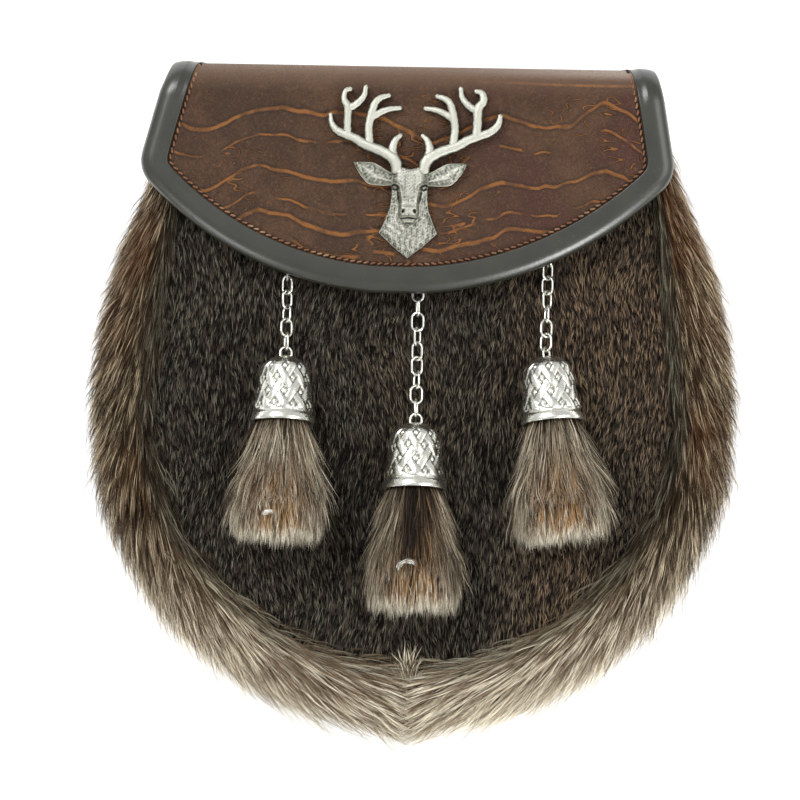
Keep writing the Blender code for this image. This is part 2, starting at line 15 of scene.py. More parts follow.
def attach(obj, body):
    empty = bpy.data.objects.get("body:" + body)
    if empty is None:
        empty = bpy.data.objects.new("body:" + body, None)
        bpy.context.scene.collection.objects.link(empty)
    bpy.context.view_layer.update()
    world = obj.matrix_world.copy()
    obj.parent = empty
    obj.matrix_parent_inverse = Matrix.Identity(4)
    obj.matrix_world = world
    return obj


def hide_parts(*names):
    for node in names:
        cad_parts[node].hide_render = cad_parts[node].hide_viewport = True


bl_info = {
    "name": "Sporran Pouch",
    "version": (1, 0, 0),
    "blender": (4, 5, 0),
    "location": "3D View > Sidebar > Sporran",
    "description": "Builds a fur sporran pouch with a leather flap, a stag badge and tassels",
    "category": "Add Mesh",
}

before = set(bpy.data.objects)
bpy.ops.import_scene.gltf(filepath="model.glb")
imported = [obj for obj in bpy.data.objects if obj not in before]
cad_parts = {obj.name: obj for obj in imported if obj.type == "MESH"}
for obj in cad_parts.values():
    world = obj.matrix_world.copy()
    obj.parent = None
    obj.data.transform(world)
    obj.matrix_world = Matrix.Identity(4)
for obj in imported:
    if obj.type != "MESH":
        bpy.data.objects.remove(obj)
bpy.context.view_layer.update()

# The pouch's outline: two concentric circles below, tapering sides above.
PANEL_RADIUS = 0.077
BORDER_RADIUS = 0.0962
PANEL_TOP = (0.0680, 0.088)
BORDER_SIDE = ((0.0985, 0.024), (0.085, 0.060), (0.0730, 0.088))
TIP_REACH = 0.0045
TIP_SPREAD = math.radians(6)
PANEL_EDGE_HEIGHT = 0.037
PANEL_DOME = 0.0035
SKIN_DEPTH = 0.0004  # of the skin, under the front panel's outer face

# The skin's section under the border's fur: share of the border's width, height.
BORDER_MIDDLE = (0.35, 0.0195)
BORDER_HALF = (0.50, 0.0188)
BORDER_POWER = 0.87

# height on the pouch, share of the solid's reach beyond the panel that the fur keeps there
BORDER_REACH = (
    (-0.026, 1.0), (-0.013, 0.93), (0.000, 0.905), (0.015, 0.895), (0.040, 0.88),
    (0.048, 0.83), (0.055, 0.76), (0.067, 0.64), (0.080, 0.55),
)
BORDER_RIGHT_REACH = 0.03  # more of it on the right

# The border's hair by its place: 0 at the bottom, 1 at the widest place, 2 at the top.
BORDER_SPREAD = ((0.0, 28), (0.5, 35), (1.0, 31), (1.5, 24), (2.0, 16))  # degrees turned outward
BORDER_LIFT = ((1, 18), (2, 11))  # degrees off the skin
BORDER_LENGTH = ((0.0, 0.95), (0.14, 1.30), (0.6, 1.24), (1.1, 1.0))  # share of the set length
STRAY_SHARE = 0.07

# The flap: the outline of its pattern, where its front, top and back lie, and its crown and skew.
FLAP_LOWEST = 0.0345
FLAP_RADIUS = 0.1041
FLAP_CORNER_RADIUS = 0.0076
FLAP_CORNER_START = math.radians(45.6)
FLAP_ARC_START = math.radians(4)
FLAP_SIDE_LEAN = math.radians(12.4)
FLAP_LENGTH = 0.136
FLAP_THICKNESS = 0.003
FLAP_TOP = 0.0488
FLAP_BACK = 0.0031
FLAP_TOP_EDGE = 0.0999
FLAP_BEND_RADIUS = 0.0095
FLAP_HALF_WIDTH = 0.0785
FLAP_CROWN = 0.0021
FLAP_SHIFT = 0.0011
FLAP_SKEW = 0.053

# Chains and tassels.
WIRE = 0.00075
LINK_LENGTH = 0.00615
LINK_WIDTH = 0.0042
LINK_PITCH = 0.00435
CHAIN_REST = 0.0026  # the chain's middle over the front
CHAIN_REST_TOP = 0.0019  # the same under the flap
CHAIN_RISING = 3  # links over which it comes down from the cone, and goes in under the flap
GAP = 0.0003  # between pieces that don't touch
BAIL_REACH = 0.0027
BAIL_FOOT = 0.0016
TASSEL_RISE = math.radians(9)
TASSEL_START = 0.0068
CONE_WALL = 0.0009

# name, x and y of the cone's tip, lean to the right, links' rolls about the chain from the top
TASSELS = (
    ("left", -0.0375, 0.0139, math.radians(-1.5), (-38, 45, -53, 28, -74)),
    ("middle", 0.0012, -0.0052, 0.0, (40, -25, -80, -8, 62, -36, 30, -66, 8, 80)),
    ("right", 0.0394, 0.0150, math.radians(6), (40, -32, 48, -75, 25, -32)),
)

# along the cone from its tip, radius of its outer face
CONE_PROFILE = (
    (0.0002, 0.0008), (0.0006, 0.0026), (0.0016, 0.0046), (0.0028, 0.0058), (0.0040, 0.0065),
    (0.0068, 0.0070), (0.0098, 0.0073), (0.0128, 0.0077), (0.0158, 0.0082), (0.0176, 0.0085),
    (0.0182, 0.0090), (0.0196, 0.0094), (0.0203, 0.0092),
)

# along the tail from the cone's tip, half its width, half its depth, droop
TAIL_SECTION = (
    (0.0150, 0.0060, 0.0058, 0.0),
    (0.0190, 0.0072, 0.0072, 0.0),
    (0.0230, 0.0084, 0.0086, 0.0),
    (0.0317, 0.0102, 0.0098, 0.0006),
    (0.0417, 0.0130, 0.0110, 0.0015),
    (0.0520, 0.0134, 0.0104, 0.0029),
    (0.0590, 0.0124, 0.0088, 0.0040),
)

# The stag badge. Its drawing unit is one 1385th of its height.
BADGE_HEIGHT = 0.0505
BADGE_UNIT = BADGE_HEIGHT / 1385
BADGE_PLACE = (-0.0018, 0.0665)
BADGE_TURN = math.radians(-0.1)

# place along the neck, half its width, its edge's height, its ridge's half width and height
BADGE_NECK = (
    (-650, 4, 22, 2, 28),
    (-556, 122, 28, 60, 52),
    (-447, 238, 32, 130, 62),
    (-395, 212, 36, 120, 66),
    (-330, 186, 40, 100, 66),
    (-257, 158, 46, 90, 68),
    (-175, 147, 50, 90, 68),
    (-60, 143, 50, 90, 68),
    (30, 118, 46, 80, 64),
)
# the same along the face
BADGE_FACE = (
    (-388, 10, 66, 4, 88),
    (-372, 46, 70, 26, 108),
    (-345, 64, 78, 44, 124),
    (-316, 80, 86, 54, 140),
    (-275, 86, 92, 60, 166),
    (-224, 82, 92, 56, 168),
    (-204, 86, 90, 46, 158),
    (-160, 106, 88, 42, 150),
    (-110, 138, 82, 52, 142),
    (-60, 151, 76, 74, 134),
    (0, 148, 68, 90, 124),
    (50, 128, 62, 76, 108),
    (68, 112, 56, 60, 94),
)
# an ear's upper and lower edge from its root to its tip: across, along
BADGE_EAR_UPPER = ((146, 34), (200, 62), (250, 92), (305, 116), (400, 120), (462, 120))
BADGE_EAR_LOWER = ((146, -62), (230, -66), (330, -55), (392, 5), (430, 62), (462, 120))

# an antler's beam and tines: (across, along, height, radius) at each point
ANTLER = {
    "beam": ((104, 40, 70, 34), (130, 140, 64, 38), (225, 205, 56, 34), (380, 265, 50, 32),
             (455, 310, 46, 30), (610, 372, 40, 26), (678, 436, 36, 21), (697, 518, 32, 10)),
    "brow": ((132, 120, 64, 34), (150, 225, 56, 28), (128, 300, 50, 21), (84, 345, 46, 10)),
    "outer": ((516, 326, 44, 28), (525, 420, 42, 28), (527, 560, 40, 28), (565, 625, 38, 23),
              (552, 690, 34, 18), (502, 708, 32, 10)),
    "outer_inner": ((527, 545, 40, 25), (458, 584, 38, 23), (398, 650, 34, 17), (382, 730, 32, 10)),
    "inner": ((336, 235, 50, 30), (342, 320, 48, 27), (348, 400, 44, 26), (334, 490, 40, 27),
              (305, 595, 38, 23), (258, 640, 34, 18), (188, 662, 32, 10)),
    "inner_inner": ((338, 465, 42, 25), (306, 496, 38, 24), (205, 546, 34, 19), (95, 562, 32, 10)),
}

# The stag's face, right-hand half. Its eye: place, turn, how much wider than high.
EYE_PLACE = (119, -82)
EYE_TURN = 0.35
EYE_STRETCH = 1.45
# a hill's height, place, half width, half height and turn: brow, bridge of the nose, nostril
FACE_HILLS = (
    (12, 96, -30, 34, 10, 0.5),
    (11, 22, -200, 34, 16, 0.0),
    (-44, 49, -274, 12, 17, 0.5),
)
# a line's height, width and route: cheek's furrow, ridge beside the nose, lip's corner
FACE_STROKES = (
    (-20, 9, ((98, -108), (88, -160), (92, -215), (100, -300))),
    (15, 8, ((74, -60), (64, -130), (58, -190), (74, -226))),
    (12, 8, ((86, -250), (84, -330))),
)
# a patch's height, droop to the side, half width, lower and upper edge and their softness:
# flat of the nose, muzzle, its upper edge, its cleft, mouth, lower lip, chin's shadow
FACE_SLABS = (
    (-7, 0.0, 52, -170, 30, 14),
    (13, 0.0, 68, -318, -232, 16),
    (-5, 0.0, 60, -232, -216, 8),
    (-9, 0.0, 5, -318, -296, 4),
    (-26, 0.10, 88, -334, -318, 7),
    (20, 0.0, 60, -366, -343, 6),
    (-12, 0.0, 56, -380, -368, 4),
)

# Colours of shadow, wear and variation, beside those that a user may change.
TAIL_GREY = ((0.042, 0.028, 0.017), (0.46, 0.375, 0.262))  # a hair's root and tip
TAIL_BROWN = ((0.016, 0.0065, 0.0022), (0.25, 0.112, 0.032))
TAIL_GOLDEN = ((0.060, 0.024, 0.008), (0.43, 0.25, 0.108))
TAIL_PALE = (0.88, 0.82, 0.66)
# dark strands, and painted shade in the middle tail
TAIL_DARK_AND_SHADE = (0.015, 0.009, 0.005)
# near-white hair of the tails' curls: a painted highlight
CURL_HIGHLIGHT = ((0.36, 0.24, 0.12), (0.90, 0.93, 0.90))
FUR_SKIN = ((0.022, 0.014, 0.009), (0.06, 0.04, 0.026))
FLAP_RED = (0.064, 0.021, 0.014)
FLAP_RUBBED = (0.145, 0.085, 0.050)
FLAP_PORES = (0.022, 0.012, 0.008)
# darker beside the tooled lines
FLAP_DARK_BESIDE_LINES = (0.018, 0.010, 0.007)
# painted sheen and painted highlight on the flap's top bend
FLAP_BEND_SHEEN = (0.25, 0.155, 0.098)
FLAP_BEND_HIGHLIGHT = (0.52, 0.44, 0.37)
EDGING_BROAD = (0.030, 0.031, 0.0220)
EDGING_RUBBED = (0.085, 0.085, 0.066)
THREAD_WORN = (0.46, 0.26, 0.13)
THREAD_DARK = (0.10, 0.035, 0.015)
# painted shade of the stitches' furrow
FURROW_SHADE = ((0.010, 0.006, 0.004), (0.030, 0.017, 0.011))
BACK_LEATHER = ((0.026, 0.018, 0.014), (0.055, 0.038, 0.028))
BACK_RUBBED = (0.10, 0.075, 0.055)

# The lights: name, place, size and power. All of them look at LIT_POINT.
LIGHTS = (
    ("key", (-0.9, 1.1, 1.7), 1.0, 26),
    ("fill", (1.3, 0.2, 1.5), 1.2, 10),
    ("front", (0.95, -1.30, 1.25), 0.45, 16),
    ("rim", (-1.0, -1.20, 1.20), 0.4, 4),
)
LIT_POINT = (0, 0, 0.03)
SKY_STRENGTH = 0.55
FLOOR_SIZE = 6
FLOOR_GLOW = 0.35
CAMERA_PLACE = (-0.0036, 0.0011)
SENSOR_WIDTH = 36
FOCUS_HEIGHT = 0.020  # where the view is as wide as its setting says


# ---------------------------------------------------------------- settings


def tint(name, description, default):
    """A colour that a user may change."""
    return FloatVectorProperty(
        name=name, description=description, default=default, subtype="COLOR", size=3, min=0, max=1
    )


def measure(name, description, default):
    """A length that a user may change."""
    return FloatProperty(name=name, description=description, default=default, unit="LENGTH")


def number_of(name, description, default):
    """A number of hairs that a user may change."""
    return IntProperty(name=name, description=description, default=default, min=100)


class FurSettings(bpy.types.PropertyGroup):
    """Hair of the border, the front and the tassels."""

    border_hairs: number_of("Border hairs", "Hairs on each half of the border", 35000)
    border_length: measure("Border hair length", "Length of a border hair", 0.0125)
    front_hairs: number_of("Front hairs", "Hairs on the front panel", 54000)
    front_length: measure("Front hair length", "Length of a front hair", 0.0042)
    tail_hairs: number_of("Tassel hairs", "Hairs on each tassel", 12500)
    root: tint("Root", "Colour of the border's hair at its root", (0.012, 0.007, 0.004))
    body: tint("Body", "Colour of the border's hair along its length", (0.075, 0.047, 0.0235))
    tip: tint("Tip", "Colour of the border's hair at its tip", (0.83, 0.68, 0.45))
    low_body: tint("Lower body", "The same along the lower part of the border", (0.34, 0.25, 0.155))
    low_tip: tint("Lower tip", "The same at the tips there", (1.0, 0.93, 0.74))
    warm: tint("Warm patches", "Colour of the browner patches", (0.125, 0.050, 0.016))
    cool: tint("Inner rim", "Colour of the pale hair along the inner edge", (0.205, 0.215, 0.165))
    front: tint("Front", "Colour of the front's hair", (0.0036, 0.0030, 0.0022))
    front_tip: tint("Front tips", "Colour of the front's paler hairs", (0.272, 0.250, 0.184))
    front_warm: tint("Front, warm side", "Colour of the paler hairs on the right", (0.44, 0.30, 0.185))


class LeatherSettings(bpy.types.PropertyGroup):
    """Leather of the flap and its edging."""

    flap: tint("Flap", "Main colour of the flap", (0.0455, 0.0210, 0.0094))
    flap_light: tint("Flap, worn", "Colour where the finish is rubbed thin", (0.085, 0.0405, 0.0183))
    tooling: tint("Tooled lines", "Colour burnished into the tooled lines", (0.23, 0.088, 0.019))
    edging: tint("Edging", "Colour of the rolled edging", (0.022, 0.023, 0.0165))
    thread: tint("Thread", "Colour of the stitching", (0.22, 0.090, 0.036))
    stitch: measure("Stitch", "Distance from one stitch to the next", 0.0020)


class MetalSettings(bpy.types.PropertyGroup):
    """Metal of the badge, the cones and the chains."""

    pewter: tint("Pewter", "Bright metal of the badge", (0.56, 0.565, 0.49))
    # also the painted shade on the antlers' sides
    pewter_dark: tint("Antiquing", "Dark finish in the badge's recesses", (0.105, 0.110, 0.086))
    silver: tint("Silver", "Bright metal of the cones and chains", (0.88, 0.885, 0.80))
    silver_dark: tint("Tarnish", "Dark finish in the cones' recesses", (0.23, 0.235, 0.195))


class StageSettings(bpy.types.PropertyGroup):
    """Floor, camera and light."""

    camera_height: measure("Camera height", "Height of the camera over the floor", 1.6)
    view_width: measure("View width", "Width that the camera sees", 0.240)
    roll: FloatProperty(
        name="Roll", description="Turn of the camera", default=math.radians(1), subtype="ANGLE"
    )
    floor: tint("Floor", "Colour of the floor", (0.93, 0.93, 0.93))


# ---------------------------------------------------------------- shader expressions


class Value:
    """A node's output that takes part in sums: each operator adds a Math node."""

    def __init__(self, shade, socket):
        self.shade = shade
        self.socket = socket

    def _math(self, operation, *terms):
        return self.shade.math(operation, *terms)

    def __add__(self, other):
        return self._math("ADD", self, other)

    __radd__ = __add__

    def __sub__(self, other):
        return self._math("SUBTRACT", self, other)

    def __rsub__(self, other):
        return self._math("SUBTRACT", other, self)

    def __mul__(self, other):
        return self._math("MULTIPLY", self, other)

    __rmul__ = __mul__

    def __truediv__(self, other):
        return self._math("DIVIDE", self, other)

    def __rtruediv__(self, other):
        return self._math("DIVIDE", other, self)

    def __abs__(self):
        return self._math("ABSOLUTE", self)

    def fraction(self):
        return self._math("FRACT", self)

    def sine(self):
        return self._math("SINE", self)

    def above(self, limit):
        return self._math("GREATER_THAN", self, limit)

    def or_more(self, other):
        return self._math("MAXIMUM", self, other)

    def clamped(self):
        return self.shade.math("ADD", self, 0, clamp=True)

    def rise(self, start, end):
        """0 below start, 1 above end, smooth between."""
        inputs = {"Value": self, "From Min": start, "From Max": end}
        node = self.shade.node("ShaderNodeMapRange", {"interpolation_type": "SMOOTHSTEP"}, inputs)
        return self.shade.out(node, "Result")

    def fall(self, start, end):
        """1 below start, 0 above end, smooth between."""
        return 1 - self.rise(start, end)


class Shade:
    """One material's nodes."""

    def __init__(self, name):
        self.material = bpy.data.materials.new(name)
        self.material.use_nodes = True
        self.tree = self.material.node_tree
        self.shader = self.tree.nodes["Principled BSDF"]

    def node(self, kind, settings=None, inputs=None):
        made = self.tree.nodes.new(kind)
        for name, value in (settings or {}).items():
            setattr(made, name, value)
        for name, value in (inputs or {}).items():
            self.feed(made.inputs[name], value)
        return made

    def feed(self, socket, value):
        if isinstance(value, Value):
            self.tree.links.new(value.socket, socket)
        elif socket.type == "RGBA":
            socket.default_value = (*value, 1)
        else:
            socket.default_value = value

    def out(self, node, name):
        return Value(self, node.outputs[name])

    def math(self, operation, *terms, clamp=False):
        settings = {"operation": operation, "use_clamp": clamp}
        return self.out(self.node("ShaderNodeMath", settings, dict(enumerate(terms))), 0)

    def place(self):
        """The point's place in metres, as a vector."""
        return self.out(self.node("ShaderNodeTexCoord"), "Object")

    def parts(self, vector):
        node = self.node("ShaderNodeSeparateXYZ", inputs={"Vector": vector})
        return tuple(self.out(node, axis) for axis in "XYZ")

    def noise(self, place, size, detail=3, roughness=0.5):
        """Noise whose cells are about size metres wide, from 0 to 1."""
        inputs = {"Vector": place, "Scale": 1 / size, "Detail": detail, "Roughness": roughness}
        return self.out(self.node("ShaderNodeTexNoise", inputs=inputs), "Fac")

    def cells(self, place, size):
        """How far each point is from the edge of its cell of about that size."""
        inputs = {"Vector": place, "Scale": 1 / size}
        node = self.node("ShaderNodeTexVoronoi", {"feature": "DISTANCE_TO_EDGE"}, inputs)
        return self.out(node, "Distance")

    def scaled(self, place, x, y, z):
        node = self.node("ShaderNodeVectorMath", {"operation": "MULTIPLY"}, {0: place, 1: (x, y, z)})
        return self.out(node, "Vector")

    def attribute(self, name):
        """A colour attribute's red, green and blue as values."""
        node = self.node("ShaderNodeAttribute", {"attribute_name": name})
        split = self.node("ShaderNodeSeparateColor", inputs={"Color": self.out(node, "Color")})
        return tuple(self.out(split, channel) for channel in ("Red", "Green", "Blue"))

    def mix(self, share, first, second):
        """A colour between two others."""
        node = self.node("ShaderNodeMix", {"data_type": "RGBA"})
        for index, value in ((0, share), (6, first), (7, second)):
            self.feed(node.inputs[index], value)
        return self.out(node, 2)

    def bump(self, height, distance, strength=1.0):
        inputs = {"Height": height, "Distance": distance, "Strength": strength}
        node = self.node("ShaderNodeBump", inputs=inputs)
        self.feed(self.shader.inputs["Normal"], self.out(node, "Normal"))

    def set(self, **sockets):
        """Feeds the shader's sockets and returns the finished material."""
        names = {
            "colour": "Base Color", "roughness": "Roughness", "metallic": "Metallic",
            "specular": "Specular IOR Level", "emission": "Emission Color", "glow": "Emission Strength",
        }
        for name, value in sockets.items():
            self.feed(self.shader.inputs[names[name]], value)
        return self.material


# ---------------------------------------------------------------- general helpers


UP = np.array([0, 0, 1.0])


def settings():
    """What the user has set."""
    return bpy.context.scene.sporran


def lerp(a, b, share):
    return a + (b - a) * share


def ramp(values, start, end):
    """0 before start and 1 beyond end, straight between."""
    return np.clip((values - start) / (end - start), 0, 1)


def bell(values, middle, width, power=2):
    """1 in the middle, falling away softly to both sides."""
    return np.exp(-(np.abs((values - middle) / width) ** power))


def signed_power(values, power):
    return np.sign(values) * np.abs(values) ** power


def round_angles(sides):
    return np.arange(sides) * 2 * math.pi / sides


def unit(vectors):
    return vectors / np.maximum(np.linalg.norm(vectors, axis=-1, keepdims=True), 1e-12)


def transformed(points, matrix):
    table = np.array(matrix)
    return points @ table[:3, :3].T + table[:3, 3]


def table_column(rows, at, column=1):
    """A table's column at many places, in straight lines between its rows."""
    table = np.array(rows, float)
    return np.interp(at, table[:, 0], table[:, column])


def smooth_route(points, steps):
    """A smooth curve through the points, with that many steps between each two."""
    rows = [np.array(point, float) for point in points]
    rows = [2 * rows[0] - rows[1], *rows, 2 * rows[-1] - rows[-2]]
    route = []
    for a, b, c, d in zip(rows, rows[1:], rows[2:], rows[3:]):
        for i in range(steps):
            t = i / steps
            bend = (2 * a - 5 * b + 4 * c - d) * t**2 + (3 * b - a - 3 * c + d) * t**3
            route.append(0.5 * (2 * b + (c - a) * t + bend))
    route.append(rows[-2])
    return np.array(route)


def distances(route):
    """How far along the route each of its points is."""
    return np.concatenate([[0], np.cumsum(np.linalg.norm(np.diff(route, axis=0), axis=1))])


def sampled(rows, known, wanted):
    """Rows of numbers that belong to known distances, at the wanted ones."""
    return np.stack([np.interp(wanted, known, column) for column in rows.T], axis=1)


def mesh_of(name, points, triangles, material, tint=None):
    """A mesh object of arrays of points, triangles and colours, riding on the pouch."""
    points = np.reshape(points, (-1, 3))
    mesh = bpy.data.meshes.new(name)
    count = len(triangles)
    mesh.vertices.add(len(points))
    mesh.vertices.foreach_set("co", np.ascontiguousarray(points, np.float32).ravel())
    mesh.loops.add(3 * count)
    mesh.loops.foreach_set("vertex_index", np.ascontiguousarray(triangles, np.int32).ravel())
    mesh.polygons.add(count)
    mesh.polygons.foreach_set("loop_start", np.arange(0, 3 * count, 3, dtype=np.int32))
    mesh.polygons.foreach_set("use_smooth", np.ones(count, bool))
    if tint is not None:
        layer = mesh.attributes.new("tint", "FLOAT_COLOR", "POINT")
        rgba = np.ones((len(points), 4), np.float32)
        rgba[:, :3] = np.reshape(tint, (len(points), -1))
        layer.data.foreach_set("color", rgba.ravel())
    mesh.update(calc_edges=True)
    mesh.validate()
    mesh.materials.append(material)
    obj = bpy.data.objects.new(name, mesh)
    bpy.context.scene.collection.objects.link(obj)
    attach(obj, "root")
    return obj


def dress(name, material):
    """Gives a node of the frame its finish."""
    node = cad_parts[name]
    node.data.materials.clear()
    node.data.materials.append(material)


def thicken(obj, thickness):
    """Gives a sheet its thickness, inward from its outer face."""
    solid = obj.modifiers.new("thickness", "SOLIDIFY")
    solid.thickness = thickness
    solid.offset = -1


def face_up(obj):
    """Turns the faces of an open sheet upward."""
    if obj.data.polygons[0].normal.z < 0:
        obj.data.flip_normals()


def face_out(obj):
    """Turns the faces of each closed shell outward."""
    mesh = bmesh.new()
    mesh.from_mesh(obj.data)
    bmesh.ops.recalc_face_normals(mesh, faces=mesh.faces)
    mesh.to_mesh(obj.data)
    mesh.free()


def grid_triangles(rows, columns, around=False, closed=False):
    """Triangles of a grid of points; around joins its last column to its first, closed its last row."""
    down, across = np.arange(rows if closed else rows - 1), np.arange(columns if around else columns - 1)
    row, column = np.meshgrid(down, across, indexing="ij")
    below, beside = (row + 1) % rows, (column + 1) % columns
    a, b = row * columns + column, row * columns + beside
    c, d = below * columns + beside, below * columns + column
    return np.stack([a, b, c, a, c, d], axis=-1).reshape(-1, 3)


def ring_cap(first, sides, centre=None):
    """Triangles that close a ring of points, from its first point or from a centre point."""
    ring = first + np.arange(sides)
    if centre is None:
        corners = np.full(sides - 2, first), ring[1:-1], ring[2:]
    else:
        corners = np.full(sides, centre), ring, np.roll(ring, -1)
    return np.stack(corners, axis=1)


def tube_triangles(rows, sides):
    """Triangles of a tube of rings of points, with its two ends."""
    ends = ring_cap(0, sides), ring_cap((rows - 1) * sides, sides)[:, ::-1]
    return np.concatenate([grid_triangles(rows, sides, around=True), *ends])


def patches(x, y, size, seed):
    """Soft random patches, about size wide, with a value from 0 to 1 at each place."""
    random = np.random.default_rng(seed)
    total = np.zeros_like(x)
    for i in range(9):
        angle = random.uniform(0, 2 * math.pi)
        wave = 2 * math.pi / (size * random.uniform(0.7, 1.8))
        total += np.sin((x * math.cos(angle) + y * math.sin(angle)) * wave + random.uniform(0, 7))
    return np.clip(0.5 + total / 7, 0, 1)


# ---------------------------------------------------------------- hairs


HAIR_TAPER = 0.6
FLOOR_GAP = 0.0004  # hair stays at least this high over what the pouch lies on


def in_strands(values, each):
    """The first hair's value in each strand, for all of its hairs."""
    return np.repeat(values[::each], each, axis=0)[: len(values)]


class Draws:
    """Seeded random numbers, one for each hair, for hairs that lie in strands of a few."""

    def __init__(self, seed, count, each=1):
        self.random = np.random.default_rng(seed)
        self.count = count
        self.each = each

    def follower(self):
        """True for each hair that isn't the first of its strand."""
        return np.arange(self.count) % self.each > 0

    def uniform(self, low, high):
        return self.random.uniform(low, high, self.count)

    def normal(self, middle, spread):
        return self.random.normal(middle, spread, self.count)

    def shared(self, values):
        """The first hair's value for each whole strand."""
        return in_strands(values, self.each)

    def chance(self, own):
        """From 0 to 1, near the strand's own value; own is a hair's share in it."""
        return self.shared(self.uniform(0, 1)) * (1 - own) + self.uniform(0, own)

    def facing(self, way, spread):
        """The ways that the hairs' flat sides look, spread about one way or one way each."""
        return unit(way + self.random.normal(0, spread, (self.count, 3)))


def grown(root, length, along, up, curve, count=4):
    """Hairs from their roots: straight along one way, and by the curve's two terms along another."""
    steps = np.linspace(0, 1, count)[None, :, None]
    rise = np.atleast_2d(up)[:, None] * (curve[0] * steps + curve[1] * steps**2)
    return root[:, None] + length[:, None, None] * (along[:, None] * steps + rise)


def gathered(lines, each, share):
    """The hairs drawn together towards their tips, in strands of that many."""
    return lines + (in_strands(lines, each) - lines) * np.linspace(0, share, lines.shape[1])[None, :, None]


def short_of(lines, limits):
    """The hairs shortened where they would run past x = limit."""
    roots = lines[:, :1]
    run = roots[:, 0, 0] - lines[:, -1, 0]
    keep = np.clip((roots[:, 0, 0] - limits) / np.maximum(run, 1e-6), 0.25, 1)
    return roots + (lines - roots) * np.where(run > 1e-6, keep, 1)[:, None, None]


def hair_mesh(name, material, lines, facing, chance, tone, widths):
    """Flat tapering hairs: lines is hairs x points x 3, facing is the way each hair's flat looks."""
    hairs, count, _ = lines.shape
    along = np.linspace(0, 1, count)
    side = unit(np.cross(np.diff(lines, axis=1), facing[:, None]))
    half = side * (widths[:, None] * (1 - along[:-1]) ** HAIR_TAPER / 2)[..., None]
    pairs = np.stack([lines[:, :-1] - half, lines[:, :-1] + half], axis=2).reshape(hairs, -1, 3)
    points = np.concatenate([pairs, lines[:, -1:]], axis=1)
    each = points.shape[1]
    faces = [(each - 3, each - 2, each - 1)]
    for a in range(0, each - 3, 2):
        faces += [(a, a + 1, a + 3), (a, a + 3, a + 2)]
    triangles = (np.array(faces) + (np.arange(hairs) * each)[:, None, None]).reshape(-1, 3)
    look = np.append(np.repeat(along[:-1], 2), 1), np.reshape(chance, (-1, 1)), np.reshape(tone, (-1, 1))
    rgb = np.stack([np.broadcast_to(values, (hairs, each)) for values in look], axis=-1)
    return mesh_of(name, points, triangles, material, rgb)


# ---------------------------------------------------------------- the pouch's outline


def on_circle(angle, radius):
    return np.stack([radius * np.sin(angle), -radius * np.cos(angle)], axis=-1)


def panel_edge(s):
    """The front's right-hand edge: from the bottom, s = 0, by the widest place, 1, to the top, 2."""
    turn = on_circle(np.clip(s, 0, 1) * math.pi / 2, PANEL_RADIUS)
    straight = lerp(np.array([PANEL_RADIUS, 0]), np.array(PANEL_TOP), np.clip(s - 1, 0, 1)[..., None])
    return np.where((s <= 1)[..., None], turn, straight)


def border_edge(s):
    """The outer edge of the fur border at the same place."""
    angle = np.clip(s, 0, 1) * math.pi / 2
    turn = on_circle(angle, BORDER_RADIUS + TIP_REACH * bell(angle, 0, TIP_SPREAD))
    t = np.clip(s - 1, 0, 1)[..., None]
    a, (b, c, d) = np.array([BORDER_RADIUS, 0]), [np.array(point) for point in BORDER_SIDE]
    side = a * (1 - t) ** 3 + 3 * b * (1 - t) ** 2 * t + 3 * c * (1 - t) * t**2 + d * t**3
    return np.where((s <= 1)[..., None], turn, side)


def half_width_at(y):
    low = np.sqrt(np.maximum(0, PANEL_RADIUS**2 - np.minimum(y, 0) ** 2))
    high = lerp(PANEL_RADIUS, PANEL_TOP[0], y / PANEL_TOP[1])
    return np.where(y < 0, low, high)


def front_height(x, y):
    """Height of the front panel's outer face."""
    across = np.minimum(1, np.abs(x) / np.maximum(half_width_at(y), 1e-4))
    along = np.where(y < 0, np.maximum(0, 1 - (y / PANEL_RADIUS) ** 2), 1 - 0.3 * (y / PANEL_TOP[1]) ** 2)
    return PANEL_EDGE_HEIGHT + PANEL_DOME * (1 - across**2) * along


def under_front(x, y):
    """Places on the skin that lies just under the front panel's outer face."""
    return np.stack([x, y, front_height(x, y) - SKIN_DEPTH], axis=-1)


def border_skin(s, theta):
    """The skin under the border's fur: theta is 0 on the front, 90 degrees outside, 180 behind."""
    share = BORDER_MIDDLE[0] + BORDER_HALF[0] * signed_power(np.sin(theta), BORDER_POWER)
    height = BORDER_MIDDLE[1] + BORDER_HALF[1] * signed_power(np.cos(theta), BORDER_POWER)
    flat = lerp(panel_edge(s), border_edge(s), share[..., None])
    return np.concatenate([flat, height[..., None]], axis=-1)


def drawn_in(points, side):
    """Places of the border drawn in towards the panel, as the fur's outline is."""
    y = points[..., 1]
    beyond = np.maximum(points[..., 0] - half_width_at(y), 0)
    share = table_column(BORDER_REACH, y) + (BORDER_RIGHT_REACH if side > 0 else 0)
    share = np.where(y < BORDER_REACH[0][0], 1, share)
    points[..., 0] -= beyond * (1 - share)
    return points


# ---------------------------------------------------------------- hair materials


def border_hair():
    """Brown hair with cream tips, paler towards the bottom of the pouch."""
    fur = settings().fur
    shade = Shade("border hair")
    along, chance, tone = shade.attribute("tint")
    warm, cool = (2 * tone - 1).clamped(), (1 - 2 * tone).clamped()
    x, y, _ = shade.parts(shade.place())
    low = (0.03 * x - y).rise(0.028, 0.088)
    body = shade.mix(warm, shade.mix(low, fur.body, fur.low_body), fur.warm)
    base = shade.mix(along.rise(0.0, 0.35), fur.root, body)
    pale = along.rise(0.12, 0.60) * (chance + 0.22 * low).rise(0.46, 0.92) * (1 - 0.5 * warm)
    base = shade.mix(pale, base, shade.mix(low, fur.tip, fur.low_tip))
    dark = shade.mix(0.12 + low * 0.45, fur.root, body)
    base = shade.mix(chance.rise(0.10, 0.62), dark, base)
    base = shade.mix(cool * chance.rise(0.22, 0.75) * (0.35 + 0.65 * along), base, fur.cool)
    return shade.set(colour=base, roughness=0.55, specular=0.10)


